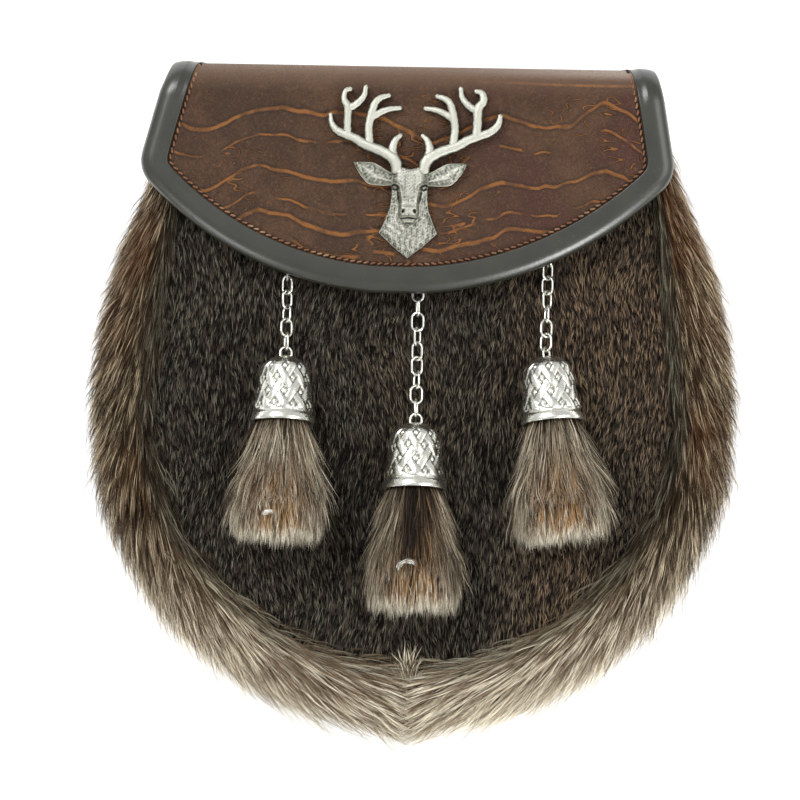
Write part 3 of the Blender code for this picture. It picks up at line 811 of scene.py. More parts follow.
def front_hair():
    """Near-black hair with fine grey streaks, browner towards the right."""
    fur = settings().fur
    shade = Shade("front hair")
    along, chance, warm = shade.attribute("tint")
    pale = along.rise(0.15, 0.75) * chance.rise(0.40 - 0.20 * warm, 1.0)
    base = shade.mix(pale, fur.front, shade.mix(warm, fur.front_tip, fur.front_warm))
    return shade.set(colour=base, roughness=0.5, specular=0.07)


def tail_hair():
    """Brown hair under long grey and cream strands; a tone over 1.5 marks the fringe below them."""
    shade = Shade("tassel hair")
    along, chance, tone = shade.attribute("tint")
    fringe = tone.above(1.5)
    warm = tone - 2 * fringe
    grey = shade.mix(along.rise(0.0, 0.55), *TAIL_GREY)
    brown = shade.mix(along.rise(0.1, 0.9), *TAIL_BROWN)
    golden = shade.mix(along.rise(0.0, 0.45), *TAIL_GOLDEN)
    brown = shade.mix(warm.rise(0.80, 0.95), brown, golden)
    pale = along.rise(0.25, 0.85) * chance.rise(0.45, 0.95) * (1 - 0.85 * warm)
    ends = along.rise(0.80 - 0.14 * fringe, 1.0 - 0.16 * fringe) * chance.rise(0.15, 0.65)
    base = shade.mix(pale.or_more(ends), shade.mix(warm, grey, brown), TAIL_PALE)
    # dark strands, and painted shade where a hair's chance is lowered
    base = shade.mix(chance.rise(0.12, 0.66), TAIL_DARK_AND_SHADE, base)
    return shade.set(colour=base, roughness=0.45, specular=0.14)


def highlight_curl_hair():
    """Pale, wet-looking hair whose near-white colour is a painted highlight."""
    shade = Shade("painted highlight curl hair")
    _, chance, _ = shade.attribute("tint")
    return shade.set(colour=shade.mix(chance.rise(0.1, 0.7), *CURL_HIGHLIGHT), roughness=0.3, specular=0.5)


def skin_material():
    shade = Shade("fur skin")
    mottle = shade.noise(shade.place(), 0.002)
    shade.bump(mottle, 0.0004)
    return shade.set(colour=shade.mix(mottle, *FUR_SKIN), roughness=0.9)


# ---------------------------------------------------------------- the fur


STRAND = 3  # hairs of the border and the tails that lie together
FRONT_STRAND = 2
BORDER_GATHER = 0.45  # how far a strand's hairs come together at their tips
FRONT_GATHER = 0.4
END_HAIRS = 1100
TUFT_HAIRS = 70

# a hair's least and greatest width
BORDER_WIDTH = (0.00013, 0.00025)
END_WIDTH = (0.00018, 0.00032)
TUFT_WIDTH = (0.00013, 0.00023)
FRONT_WIDTH = (0.00014, 0.00026)
TAIL_WIDTH = (0.00015, 0.00029)
CURL_WIDTH = (0.00012, 0.00022)

# seeds of the random draws
SEEDS = {
    "border_left": 11, "border_right": 12, "end_left": 13, "end_right": 14, "front": 21, "tuft": 31,
    "tail_left": 41, "tail_middle": 42, "tail_right": 43, "highlight_curl": 51,
}


class SPORRAN_OT_border(bpy.types.Operator):
    """Make the deep fur border, one half at a time"""

    bl_idname = "sporran.border"
    bl_label = "Fur Border"

    def execute(self, context):
        hair, skin = border_hair(), skin_material()
        for side, name in ((-1, "left"), (1, "right")):
            self.skin(side, name, skin)
            self.fur(side, name, hair)
            self.upper_end(side, name, hair)
        return {"FINISHED"}

    def skin(self, side, name, material):
        rows, columns = 64, 28
        s, theta = np.meshgrid(np.linspace(2, 0, rows), round_angles(columns), indexing="ij")
        points = drawn_in(border_skin(s, theta), side)
        ends = points[[0, -1]].mean(axis=1)
        points = np.concatenate([points.reshape(-1, 3), ends])
        points[:, 0] = np.maximum(points[:, 0], GAP / 2) * side
        count = rows * columns
        triangles = np.concatenate([
            grid_triangles(rows, columns, around=True),
            ring_cap(0, columns, count)[:, ::-1],
            ring_cap(count - columns, columns, count + 1),
        ])
        mesh_of(f"border_skin_{name}", points, triangles[:, ::side], material)

    def fur(self, side, name, material):
        fur = settings().fur
        draws = Draws(SEEDS[f"border_{name}"], fur.border_hairs, STRAND)
        # the front of the border gets most of the hair
        s = draws.shared(2 * draws.uniform(0, 1) ** 0.92)
        theta = draws.shared(np.radians(lerp(-34, 168, draws.random.beta(1.15, 1.5, draws.count))))
        s = np.clip(s + draws.follower() * draws.normal(0, 0.0030), 0, 2)
        theta = theta + draws.follower() * draws.normal(0, 0.025)
        step = 1e-3
        root = border_skin(s, theta)
        down = unit(border_skin(np.maximum(s - step, 0), theta) - border_skin(s + step, theta))
        across = unit(border_skin(s, theta + step) - border_skin(s, theta - step))
        normal = unit(np.cross(down, across))
        outward = ramp(np.degrees(theta), -30, 90)
        stray = draws.shared(draws.uniform(0, 1)) < STRAY_SHARE
        turn = lerp(3, table_column(BORDER_SPREAD, s), outward) + draws.shared(draws.normal(0, 6))
        turn = np.radians(turn + stray * draws.uniform(5, 28)) * (1 - 0.6 * bell(s, 0, 0.10))
        nap = down * np.cos(turn)[:, None] + across * np.sin(turn)[:, None]
        lift = np.radians(table_column(BORDER_LIFT, s) + draws.shared(draws.normal(0, 7)))[:, None]
        length = draws.shared(draws.uniform(0.65, 1.2)) * draws.uniform(0.9, 1.1)
        length = fur.border_length * length * lerp(0.8, 1.1, outward) * table_column(BORDER_LENGTH, s)
        chance = np.clip((draws.chance(0.38) - 0.5) * 1.25 + 0.5, 0, 1)
        chance = np.minimum(chance * lerp(0.66, 1.17, outward), 1)
        along, up = nap * np.cos(lift), normal * np.sin(lift)
        lines = gathered(grown(root, length, along, up, (1.9, -1.05)), STRAND, BORDER_GATHER)
        lines = drawn_in(lines, side)
        lines[..., 2] = np.maximum(lines[..., 2], FLOOR_GAP)
        lines = short_of(lines, draws.shared(draws.uniform(-0.0030, 0.0004)))
        facing = draws.facing(normal, 0.45)
        for rows in (lines, facing, root):
            rows[..., 0] *= side
        chance, tone = self.look(side, root[:, 0], root[:, 1], theta, outward, chance)
        widths = draws.uniform(*BORDER_WIDTH) * np.where(stray, 0.75, 1)
        made = hair_mesh(f"border_fur_{name}", material, lines, facing, chance, tone, widths)
        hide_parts(f"fur_gusset_{name}")

    def look(self, side, x, y, theta, outward, chance):
        """How pale each hair is, and its tone: 0 cool at the inner rim, 0.5 plain, 1 warm brown."""
        right = side > 0
        paler = 0.16 * right * outward * ramp(y, 0, 0.04)
        paler += 0.12 * np.clip(x / 0.03, -1, 1) * ramp(-y, 0.065, 0.085)
        warm = np.clip(patches(x, y, 0.030, 3) * 2.2 - 0.5, 0, 1) * np.clip(0.70 + y / 0.10, 0.12, 1)
        inner = ramp(theta, math.radians(60), 0)
        warm = np.clip(warm * (0.45 + 0.55 * inner) + 0.30 * right * ramp(y, -0.048, 0.032), 0, 1)
        rim = ramp(theta, math.radians(-8), math.radians(-18))
        return np.clip(chance + paler, 0, 1), 0.5 + 0.5 * np.where(rim > 0, -rim, warm)

    def upper_end(self, side, name, material):
        """Short hair over the border's upper end, under the flap."""
        draws = Draws(SEEDS[f"end_{name}"], END_HAIRS)
        rim = drawn_in(border_skin(np.full(draws.count, 2.0), draws.uniform(0, 2 * math.pi)), side)
        middle = rim.mean(axis=0)
        out = unit(rim - middle)
        root = middle + (rim - middle) * np.sqrt(draws.uniform(0, 1))[:, None]
        way = unit(np.array([0, 1.0, 0]) + out * draws.uniform(0.1, 1.0)[:, None])
        lines = grown(root, draws.uniform(0.003, 0.006), way, out, (0, 0.4))
        lines[..., 2] = np.maximum(lines[..., 2], FLOOR_GAP)
        lines[..., 0] *= side
        hair_mesh(
            f"border_end_{name}", material, lines, draws.facing(0, 1),
            draws.uniform(0.1, 0.8), 0.62, draws.uniform(*END_WIDTH),
        )


class SPORRAN_OT_seam_tuft(bpy.types.Operator):
    """Make the pale tuft where the border's halves meet at the bottom"""

    bl_idname = "sporran.seam_tuft"
    bl_label = "Seam Tuft"

    def execute(self, context):
        draws = Draws(SEEDS["tuft"], TUFT_HAIRS)
        x = draws.normal(0.0003, 0.0013)
        y = draws.uniform(-0.0850, -0.0765)
        root = np.stack([x, y, np.full(draws.count, 0.0388)], axis=-1)
        lean = draws.normal(0, 0.32) + x * 120
        length = draws.uniform(0.0035, 0.0080)
        way = np.stack([np.sin(lean), np.cos(lean), draws.uniform(0.25, 0.6)], axis=-1)
        hair_mesh(
            "border_seam_tuft", border_hair(), grown(root, length, way, UP, (0, -0.25)),
            draws.facing(UP, 0.4), draws.uniform(0.1, 1), 0.5, draws.uniform(*TUFT_WIDTH),
        )
        return {"FINISHED"}


class SPORRAN_OT_front(bpy.types.Operator):
    """Make the front panel and its short dark fur"""

    bl_idname = "sporran.front"
    bl_label = "Front Panel"

    def execute(self, context):
        self.skin()
        self.fur()
        return {"FINISHED"}

    def skin(self):
        low_rows, high_rows, columns = 36, 24, 49
        low = -PANEL_RADIUS * np.cos(np.linspace(math.radians(3), math.pi / 2, low_rows))
        levels = np.concatenate([low, np.linspace(0, PANEL_TOP[1], high_rows + 1)[1:]])
        steps = np.sin(np.linspace(-math.pi / 2, math.pi / 2, columns))
        x = half_width_at(levels)[:, None] * steps[None, :]
        points = under_front(x, np.broadcast_to(levels[:, None], x.shape))
        made = mesh_of("front_skin", points, grid_triangles(len(levels), columns), skin_material())
        thicken(made, 0.0024)
        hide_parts("front_panel")

    def fur(self):
        fur = settings().fur
        draws = Draws(SEEDS["front"], fur.front_hairs, FRONT_STRAND)
        x = draws.random.uniform(-PANEL_RADIUS, PANEL_RADIUS, 2 * draws.count)
        y = draws.random.uniform(-PANEL_RADIUS, 0.082, 2 * draws.count)
        under_flap = y > 0.043 + 0.036 * (x / PANEL_RADIUS) ** 2
        inside = (np.abs(x) < half_width_at(y) * 0.995) & ~under_flap
        x, y = x[inside][: draws.count], y[inside][: draws.count]
        draws.count = len(x)
        x = draws.shared(x) + draws.follower() * draws.normal(0, 0.00030)
        y = draws.shared(y) + draws.follower() * draws.normal(0, 0.00045)
        sway = draws.shared(draws.normal(0, math.radians(9)))
        sway += (patches(x, y, 0.03, 5) - 0.5) * math.radians(26)
        nap = np.stack([np.sin(sway), -np.cos(sway), np.zeros(draws.count)], axis=-1)
        lift = np.radians(15 + draws.normal(0, 6))[:, None]
        length = fur.front_length * draws.uniform(0.7, 1.25)
        lines = grown(under_front(x, y), length, nap * np.cos(lift), UP * np.sin(lift), (1.7, -0.9), 3)
        facing = draws.facing(UP, 0.4)
        warm = np.clip(patches(x, y, 0.05, 8) * 0.8 - 0.35 + x / 0.085, 0, 1)
        hair_mesh(
            "front_fur", front_hair(), gathered(lines, FRONT_STRAND, FRONT_GATHER), facing,
            draws.chance(0.2), warm, draws.uniform(*FRONT_WIDTH),
        )


# ---------------------------------------------------------------- the flap


def flap_lengths():
    """Where the flap's front, first bend, top, second bend and back end, along the leather."""
    bend = math.pi / 2 * FLAP_BEND_RADIUS
    front = FLAP_TOP_EDGE - FLAP_BEND_RADIUS - FLAP_LOWEST
    top = FLAP_TOP - FLAP_BACK - 2 * FLAP_BEND_RADIUS
    return front, front + bend, front + bend + top, front + 2 * bend + top, FLAP_LENGTH


def flap_point(along, across):
    """Places on the flap's outer face, and their normals."""
    front, bend, top, second, _ = flap_lengths()
    turned = (ramp(along, front, bend) + ramp(along, top, second)) * math.pi / 2
    normal_y, normal_z = np.sin(turned), np.cos(turned)
    y = FLAP_LOWEST + np.minimum(along, front) - np.maximum(0, along - second) + FLAP_BEND_RADIUS * normal_y
    z = FLAP_TOP - FLAP_BEND_RADIUS - np.clip(along - bend, 0, top - bend) + FLAP_BEND_RADIUS * normal_z
    facing = np.maximum(0, normal_z)
    crown = FLAP_CROWN * (across / FLAP_HALF_WIDTH) ** 2 * facing
    shift = FLAP_SHIFT + FLAP_SKEW * (FLAP_TOP_EDGE - y) * facing
    lean = 2 * FLAP_CROWN * across / FLAP_HALF_WIDTH**2 * facing
    place = np.stack([across - shift, y - normal_y * crown, z - normal_z * crown], axis=-1)
    return place, unit(np.stack([lean, normal_y, normal_z], axis=-1))


# level across the waves, half a line's width, whether it is unbroken
TOOLED_WAVES = (
    (0.0440, 0.00042, False),
    (0.0505, 0.00050, True),
    (0.0555, 0.00030, False),
    (0.0640, 0.00042, True),
    (0.0745, 0.00034, False),
    (0.0830, 0.00048, True),
)


def flap_pattern(arc_steps=16, corner_steps=10, rows=(10, 8, 4, 8, 6)):
    """The flat pattern's right-hand edge: (along, half width) from the lower edge to the tail."""
    centre = FLAP_RADIUS - FLAP_CORNER_RADIUS
    across = centre * math.sin(FLAP_CORNER_START)
    along = FLAP_RADIUS - centre * math.cos(FLAP_CORNER_START)
    edge = []
    for i in range(arc_steps):
        angle = lerp(FLAP_ARC_START, FLAP_CORNER_START, i / arc_steps)
        edge.append((FLAP_RADIUS * (1 - math.cos(angle)), FLAP_RADIUS * math.sin(angle)))
    for i in range(corner_steps + 1):
        angle = lerp(FLAP_CORNER_START, math.pi / 2 + FLAP_SIDE_LEAN, i / corner_steps)
        down, out = FLAP_CORNER_RADIUS * math.cos(angle), FLAP_CORNER_RADIUS * math.sin(angle)
        edge.append((along - down, across + out))
    top_along, top_half = edge[-1]
    start = top_along
    for end, count in zip(flap_lengths(), rows):
        for i in range(1, count + 1):
            here = lerp(start, end, i / count)
            edge.append((here, top_half - (here - top_along) * math.tan(FLAP_SIDE_LEAN)))
        start = end
    return np.array(edge)


def flap_leather():
    """Waxed brown leather with a pebbled grain and flowing tooled lines."""
    leather = settings().leather
    shade = Shade("flap leather")
    place = shade.place()
    x, y, z = shade.parts(place)
    broad = shade.noise(place, 0.026, detail=4, roughness=0.6)
    blotch = shade.noise(place, 0.007)
    fine = shade.noise(place, 0.0010, detail=4, roughness=0.7)
    grain = shade.cells(place, 0.0008)
    worn = (broad * 0.9 + blotch * 0.5 + fine * 0.4).rise(0.72, 1.15)
    base = shade.mix(worn, leather.flap, leather.flap_light)
    red = x.rise(-0.03, 0.06) * (1 - broad).rise(0.35, 0.65)
    base = shade.mix(red * 0.80, base, FLAP_RED)
    base = shade.mix(fine.rise(0.52, 0.70) * 0.35, base, FLAP_RUBBED)
    base = shade.mix((1 - fine).rise(0.55, 0.75) * 0.45, base, FLAP_PORES)
    tooled, halo = tooled_lines(shade, place, x, y, z)
    # darker beside the tooled lines
    base = shade.mix(halo * 0.55, base, FLAP_DARK_BESIDE_LINES)
    burnish = tooled * (0.35 + 0.65 * shade.noise(place, 0.005).rise(0.35, 0.6))
    base = shade.mix(burnish, base, leather.tooling)
    # painted sheen where the top edge bends, on the front alone, under a painted highlight that grows
    # towards the right
    bent = z.rise(0.034, 0.040)
    base = shade.mix(y.rise(0.0905, 0.0990) * bent * 0.45, base, FLAP_BEND_SHEEN)
    pale = y.rise(0.0960, 0.0987) * bent * (0.04 + 0.42 * x.rise(0.0, 0.075))
    base = shade.mix(pale, base, FLAP_BEND_HIGHLIGHT)
    height = fine * 0.35 + grain.rise(0.0, 0.3) * 0.45 - halo * 0.6 - tooled * 0.6
    shade.bump(height, 0.00030, 0.9)
    return shade.set(colour=base, roughness=0.42 + 0.25 * fine, specular=0.28)


def tooled_lines(shade, place, x, y, z):
    """Masks of the burnished lines and of the dark beside them: long waves and broken contours."""
    wander = shade.noise(shade.scaled(place, 1, 0.35, 0), 0.020, detail=2.5) - 0.5
    flow = y + 0.0034 * (x * 68 + 1.1).sine() + 0.0015 * (x * 190 + 0.4).sine() + 0.013 * wander
    broken = shade.noise(shade.scaled(place, 1, 0.4, 0), 0.008, detail=1).rise(0.42, 0.50)
    uneven = 0.7 + 0.9 * shade.noise(place, 0.006, detail=2)
    lines = []
    for level, half, whole in TOOLED_WAVES:
        offset = abs(flow - level) / uneven
        keep = 1 if whole else broken
        line, dark = offset.fall(half * 0.5, half * 1.5), offset.fall(half * 1.2, half * 3.4)
        lines.append((line * keep, dark * keep))
    contour = (shade.noise(shade.scaled(place, 1, 2.2, 0), 0.017, detail=2) * 9).fraction()
    offset = abs(contour - 0.5)
    where = shade.noise(place, 0.03, detail=0).rise(0.50, 0.56) * broken
    lines.append((offset.fall(0.03, 0.09) * where, offset.fall(0.08, 0.20) * where))
    tooled, halo = lines[0]
    for line, dark in lines[1:]:
        tooled, halo = tooled.or_more(line), halo.or_more(dark)
    # nothing is tooled over the bend, apart from one line along the top's right half
    front = y.fall(0.089, 0.094) * z.above(0.04)
    offset = abs(y - 0.0950 - 0.0003 * (x * 90).sine())
    end = x.rise(0.01, 0.05)
    tooled = (tooled * front).or_more(offset.fall(0.0002, 0.0006) * end)
    return tooled, (halo * front).or_more(offset.fall(0.0006, 0.0014) * end * 0.5)


def edging_leather():
    leather = settings().leather
    shade = Shade("edging leather")
    place = shade.place()
    broad = shade.noise(place, 0.010)
    fine = shade.noise(place, 0.0010)
    crease = shade.cells(place, 0.0007)
    base = shade.mix(broad.rise(0.3, 0.7), leather.edging, EDGING_BROAD)
    base = shade.mix(fine.rise(0.60, 0.8) * 0.3, base, EDGING_RUBBED)
    shade.bump(fine * 0.4 + crease.rise(0, 0.25) * 0.35, 0.00005, 0.35)
    return shade.set(colour=base, roughness=0.27 + 0.06 * fine, specular=0.85)


def thread_material():
    shade = Shade("waxed thread")
    place = shade.place()
    twist = shade.noise(place, 0.0004, detail=2)
    wear = shade.noise(place, 0.006)
    base = shade.mix(wear.rise(0.45, 0.75), settings().leather.thread, THREAD_WORN)
    base = shade.mix(twist.rise(0.4, 0.6) * 0.4, base, THREAD_DARK)
    shade.bump(twist, 0.0001)
    return shade.set(colour=base, roughness=0.6)


def furrow_shade_material():
    # painted shade for the furrow that the stitches lie in
    shade = Shade("painted furrow shade")
    base = shade.mix(shade.noise(shade.place(), 0.001), *FURROW_SHADE)
    return shade.set(colour=base, roughness=0.7, specular=0.2)


STITCH_INSET = 0.0063  # from the flap's edge
STITCH_SHARE = 0.43  # half a stitch's length, as a share of the pitch
STITCH_SLANT = 0.38
STITCH_HALF = (0.00034, 0.00026)  # half its width and height
STITCH_BOW = 0.00016
FURROW_HALF = 0.00050
FURROW_HEIGHT = 0.00010
FURROW_LIFT = 0.00002  # keeps its sides clear of the leather
EDGING_SPACING = 0.0012
EDGING_EASE = (-0.003, 15)  # the edging's inner part is eased over so many points
LINE_EASE = 37
# out from the flap's edge, over the leather's outer face
EDGING_SECTION = (
    (-0.0056, 0.0001), (-0.0055, 0.0012), (-0.0053, 0.0014), (-0.0030, 0.0015), (-0.0014, 0.0015),
    (-0.0003, 0.0013), (0.0008, 0.0008), (0.0016, 0.0002), (0.0021, -0.0009), (0.0020, -0.0022),
    (0.0010, -0.0040), (-0.0010, -0.0046), (-0.0044, -0.0043), (-0.0046, -0.0034),
)


class SPORRAN_OT_flap(bpy.types.Operator):
    """Make the leather flap, its rolled edging and its stitching"""

    bl_idname = "sporran.flap"
    bl_label = "Flap"

    def execute(self, context):
        self.leather()
        self.edging()
        self.stitches()
        return {"FINISHED"}

    def leather(self):
        edge = flap_pattern()
        columns = 41
        across = edge[:, 1:2] * np.linspace(-1, 1, columns)[None, :]
        points, _ = flap_point(np.broadcast_to(edge[:, 0:1], across.shape), across)
        made = mesh_of("flap_leather", points, grid_triangles(len(edge), columns)[:, ::-1], flap_leather())
        face_up(made)
        thicken(made, FLAP_THICKNESS)
        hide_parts("flap")

    def edging(self):
        """A strip folded round the flap's edge, thinner where it turns over the top."""
        section = smooth_route(EDGING_SECTION, 3)
        front, bend, top, _, _ = flap_lengths()
        route, places, normals, out = flap_rim(top, EDGING_SPACING)
        thin = np.where(section[:, 1] > 0, 1 - 0.6 * ramp(route[:, :1], front, bend), 1)
        lift = normals[:, None] * (section[:, 1] * thin)[..., None]
        points = places[:, None] + out[:, None] * section[:, :1] + lift
        for column in np.flatnonzero(section[:, 0] < EDGING_EASE[0]):
            points[:, column] = eased(points[:, column], EDGING_EASE[1])
        made = mesh_of("flap_edging", points, tube_triangles(len(route), len(section)), edging_leather())
        face_out(made)
        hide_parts("flap_binding")

    def stitches(self):
        """Slanting lace stitches in a dark furrow of painted shade, just inside the edging."""
        _, places, normals, out = flap_rim(flap_lengths()[1], 0.0005)
        line = eased(places - out * STITCH_INSET, LINE_EASE)
        ahead = unit(np.gradient(line, axis=0))
        outward = unit(np.cross(ahead, normals))
        upward = unit(np.cross(outward, ahead))
        self.furrow(line, outward, upward)
        lengths = distances(line)
        pitch = settings().leather.stitch
        marks = np.arange(pitch, lengths[-1] - pitch, pitch)
        rows = (sampled(known, lengths, marks) for known in (line, ahead, outward, upward))
        here, forward, outward, upward = rows
        slant = unit(forward + outward * STITCH_SLANT * np.sign(here[:, :1] + 1e-9))
        sideways = unit(np.cross(upward, slant))
        rings, sides = 8, 10
        run = np.linspace(-1, 1, rings)
        bow = np.sqrt(1 - run**2)
        phi = round_angles(sides)
        wide, high = STITCH_HALF[0] * lerp(0.45, 1, bow), STITCH_HALF[1] * lerp(0.4, 1, bow)
        level = bow[:, None] * STITCH_BOW + high[:, None] * np.sin(phi)
        points = (
            here[:, None, None]
            + slant[:, None, None] * (run * pitch * STITCH_SHARE)[:, None, None]
            + upward[:, None, None] * level[..., None]
            + sideways[:, None, None] * (wide[:, None] * np.cos(phi))[..., None]
        )
        firsts = np.arange(len(marks)) * rings * sides
        triangles = (tube_triangles(rings, sides) + firsts[:, None, None]).reshape(-1, 3)
        face_out(mesh_of("flap_stitching", points, triangles, thread_material()))

    def furrow(self, line, outward, upward):
        """The shadowed furrow that the stitches lie in: a low, wide dark bead whose colour is painted
        shade.
        """
        t = np.linspace(-1, 1, 5)
        rise = FURROW_HEIGHT * (1 - t**2) + FURROW_LIFT
        bead = outward[:, None] * (t * FURROW_HALF)[:, None] + upward[:, None] * rise[:, None]
        triangles = grid_triangles(len(line), len(t))
        face_up(mesh_of("flap_stitch_furrow", line[:, None] + bead, triangles, furrow_shade_material()))


def flap_rim(until, spacing):
    """The flap's edge, evenly spaced from its left end round the bottom to its right end."""
    edge = flap_pattern(60, 40, (30, 30, 12, 0, 0))
    edge = edge[edge[:, 0] <= until + 1e-6]
    route = np.concatenate([edge[::-1] * [1, -1], edge])
    lengths = distances(route)
    route = sampled(route, lengths, np.linspace(0, lengths[-1], int(lengths[-1] / spacing) + 1))
    places, normals = flap_point(route[:, 0], route[:, 1])
    out = unit(np.cross(unit(np.gradient(places, axis=0)), normals))
    return route, places, normals, out


def eased(points, window):
    """The points averaged along their line over an odd number of neighbours; its ends stay."""
    weights = np.hanning(window + 2)[1:-1]
    weights = weights / weights.sum()
    padded = np.pad(points, ((window // 2, window // 2), (0, 0)), mode="reflect", reflect_type="odd")
    return np.stack([np.convolve(column, weights, mode="valid") for column in padded.T], axis=1)


# ---------------------------------------------------------------- the stag badge


def pewter_material():
    metal = settings().metal
    shade = Shade("antiqued pewter")
    place = shade.place()
    # polish and antiquing of the relief, with painted shade on the antlers' sides
    relief, _, _ = shade.attribute("tint")
    fine = shade.noise(place, 0.0006, detail=4, roughness=0.7)
    broad = shade.noise(place, 0.006)
    bright = (relief + (fine - 0.5) * 0.5 + (broad - 0.5) * 0.3).rise(0.10, 0.85)
    shade.bump(fine, 0.00018, 0.9)
    base = shade.mix(bright, metal.pewter_dark, metal.pewter)
    return shade.set(colour=base, metallic=1.0, roughness=0.32 + 0.25 * fine)


def badge_parts():
    """Points, triangles and brightness of the neck, the face, the ears and the antlers."""
    shells = [
        relief_shell(BADGE_NECK, 160, 75, neck_detail, 0, 0.74),
        relief_shell(BADGE_FACE, 200, 91, face_detail, 34, 0.97),
    ]
    for side in (-1, 1):
        shells.append(ear_shell(side))
        shells += [tine_shell(points, side) for points in ANTLER.values()]
    points, triangles, bright = zip(*shells)
    firsts = np.cumsum([0] + [len(rows) for rows in points[:-1]])
    triangles = [rows + first for rows, first in zip(triangles, firsts)]
    return np.concatenate(points) * BADGE_UNIT, np.concatenate(triangles), np.concatenate(bright)


def hill(x, y, at_x, at_y, wide, high, turn):
    """A soft round rise of height 1 at a place."""
    c, s = math.cos(turn), math.sin(turn)
    u, v = (x - at_x) * c + (y - at_y) * s, -(x - at_x) * s + (y - at_y) * c
    return bell(u, 0, wide) * bell(v, 0, high)


def stroke(x, y, route, width):
    """A soft line of height 1 along a route of (across, along) points, from its highest to its lowest."""
    route = np.array(route, float)[::-1]
    middle = np.interp(y, route[:, 1], route[:, 0])
    ends = np.clip((y - route[0, 1]) / width + 0.5, 0, 1) * np.clip((route[-1, 1] - y) / width + 0.5, 0, 1)
    return bell(x, middle, width) * ends


def slab(x, y, half, low, high, edge):
    """A soft-edged rectangle of height 1, centred across."""
    return ramp(x, half, half - edge) * ramp(y, low, low + edge) * ramp(y, high, high - edge)


def neck_detail(x, y, half):
    """Cast locks of hair inside a plain raised rim."""
    locks = patches(x * 1.3, y * 0.8, 34, 61) + 0.6 * patches(x * 1.5, y * 0.9, 17, 62) - 0.8
    rim = ramp(half - np.abs(x), 14, 0)
    return 8 * locks * (1 - rim) + 13 * rim


def face_detail(x, y, half):
    """Eyes, brows, nose and mouth of the stag."""
    ax = np.abs(x)
    c, s = math.cos(EYE_TURN), math.sin(EYE_TURN)
    across, along = ax - EYE_PLACE[0], y - EYE_PLACE[1]
    u, v = (across * c + along * s) / EYE_STRETCH, -across * s + along * c
    ring = np.hypot(u, v)
    relief = 26 * ramp(ring, 13, 6) - 17 * bell(ring, 19, 5)
    relief += 20 * bell(ring, 31, 7) * (0.45 + 0.55 * np.clip((v - u) / 20, -1, 1))
    for height, *at in FACE_HILLS:
        relief += height * hill(ax, y, *at)
    for height, width, route in FACE_STROKES:
        relief += height * stroke(ax, y, route, width)
    for height, droop, *box in FACE_SLABS:
        relief += height * slab(ax, y + droop * ax, *box)
    hair = patches(x * 1.4, y * 0.8, 22, 63) + patches(x * 1.4, y * 0.8, 12, 64) - 1
    return relief + 3.5 * hair * ramp(y, -215, -155)


def relief_light(height, spread=12):
    """Bright on what stands out and dark in what lies deep, as polish leaves a cast relief."""
    soft = height
    for _ in range(spread):
        wide = np.pad(soft, 1, mode="edge")
        soft = (wide[:-2, 1:-1] + wide[2:, 1:-1] + wide[1:-1, :-2] + wide[1:-1, 2:]) / 4
    return height - soft


def polished(height):
    """How brightly each place of a cast relief is rubbed."""
    return np.clip(0.64 + relief_light(height, 8) / 19 + relief_light(height, 60) / 38, 0.06, 1)


def relief_shell(table, rows, columns, detail, rise, shine):
    """A cast relief with upright sides over a flat back. Its upper corners are rise higher."""
    y = np.linspace(table[0][0], table[-1][0], rows)
    half, edge, ridge_half, ridge = (table_column(table, y, k)[:, None] for k in (1, 2, 3, 4))
    t = np.sin(np.linspace(-1, 1, columns) * math.pi / 2)[None, :]
    x = half * t
    inside = half - np.abs(x)
    along = y[:, None] + rise * np.abs(t) ** 1.5 * ramp(y[:, None], 10, 60)
    slope = np.clip(inside / np.maximum(half - ridge_half, 1), 0, 1)
    height = edge + (ridge - edge) * (slope * slope * (3 - 2 * slope)) ** 0.8
    height = height + detail(x, along, half) * ramp(inside, 0, 10)
    return walled(x, along, height, polished(height) * shine, 0)


def walled(x, y, height, bright, foot):
    """A height field as a closed shell: its top, upright walls and a flat back."""
    rows, columns = height.shape
    top = np.stack([x, y, height], axis=-1).reshape(-1, 3)
    border = np.concatenate([
        np.arange(columns),
        np.arange(1, rows) * columns + columns - 1,
        (rows - 1) * columns + np.arange(columns - 2, -1, -1),
        np.arange(rows - 2, 0, -1) * columns,
    ])
    wall = top[border]
    wall[:, 2] = foot
    centre = wall.mean(axis=0, keepdims=True)
    count, ring = len(top), np.arange(len(border))
    following = np.roll(ring, -1)
    triangles = np.concatenate([
        grid_triangles(rows, columns),
        np.stack([border, count + ring, count + following], axis=1),
        np.stack([border, count + following, border[following]], axis=1),
        np.stack([count + following, count + ring, np.full(len(ring), count + len(ring))], axis=1),
    ])
    tint = np.concatenate([bright.reshape(-1), np.full(len(border) + 1, 0.1)])
    return np.concatenate([top, wall, centre]), triangles, tint


def ear_shell(side):
    """A hollow leaf with a raised rim, from the upper edge to the lower."""
    rows, columns = 44, 29
    edges = []
    for points in (BADGE_EAR_UPPER, BADGE_EAR_LOWER):
        route = smooth_route(points, 8)
        edges.append(sampled(route, np.linspace(0, 1, len(route)), np.linspace(0, 1, rows)))
    t = np.linspace(0, 1, columns)[None, :]
    flat = lerp(edges[0][:, None], edges[1][:, None], t[..., None])
    x, y = flat[..., 0], flat[..., 1]
    run = np.linspace(0, 1, rows)[:, None]
    rim = np.abs(2 * t - 1) ** 4 + 0 * run
    hollow = 1 - rim
    fold = bell(t, 0.62 - 0.25 * run, 0.10) * (1 - run) ** 0.7
    texture = patches(x, y, 36, 65) + patches(x, y, 20, 66) - 1
    height = 44 + 22 * rim + 15 * fold - 12 * hollow * (1 - run**2) + 5 * texture * hollow
    return walled(x * side, y, height, polished(height), 10)


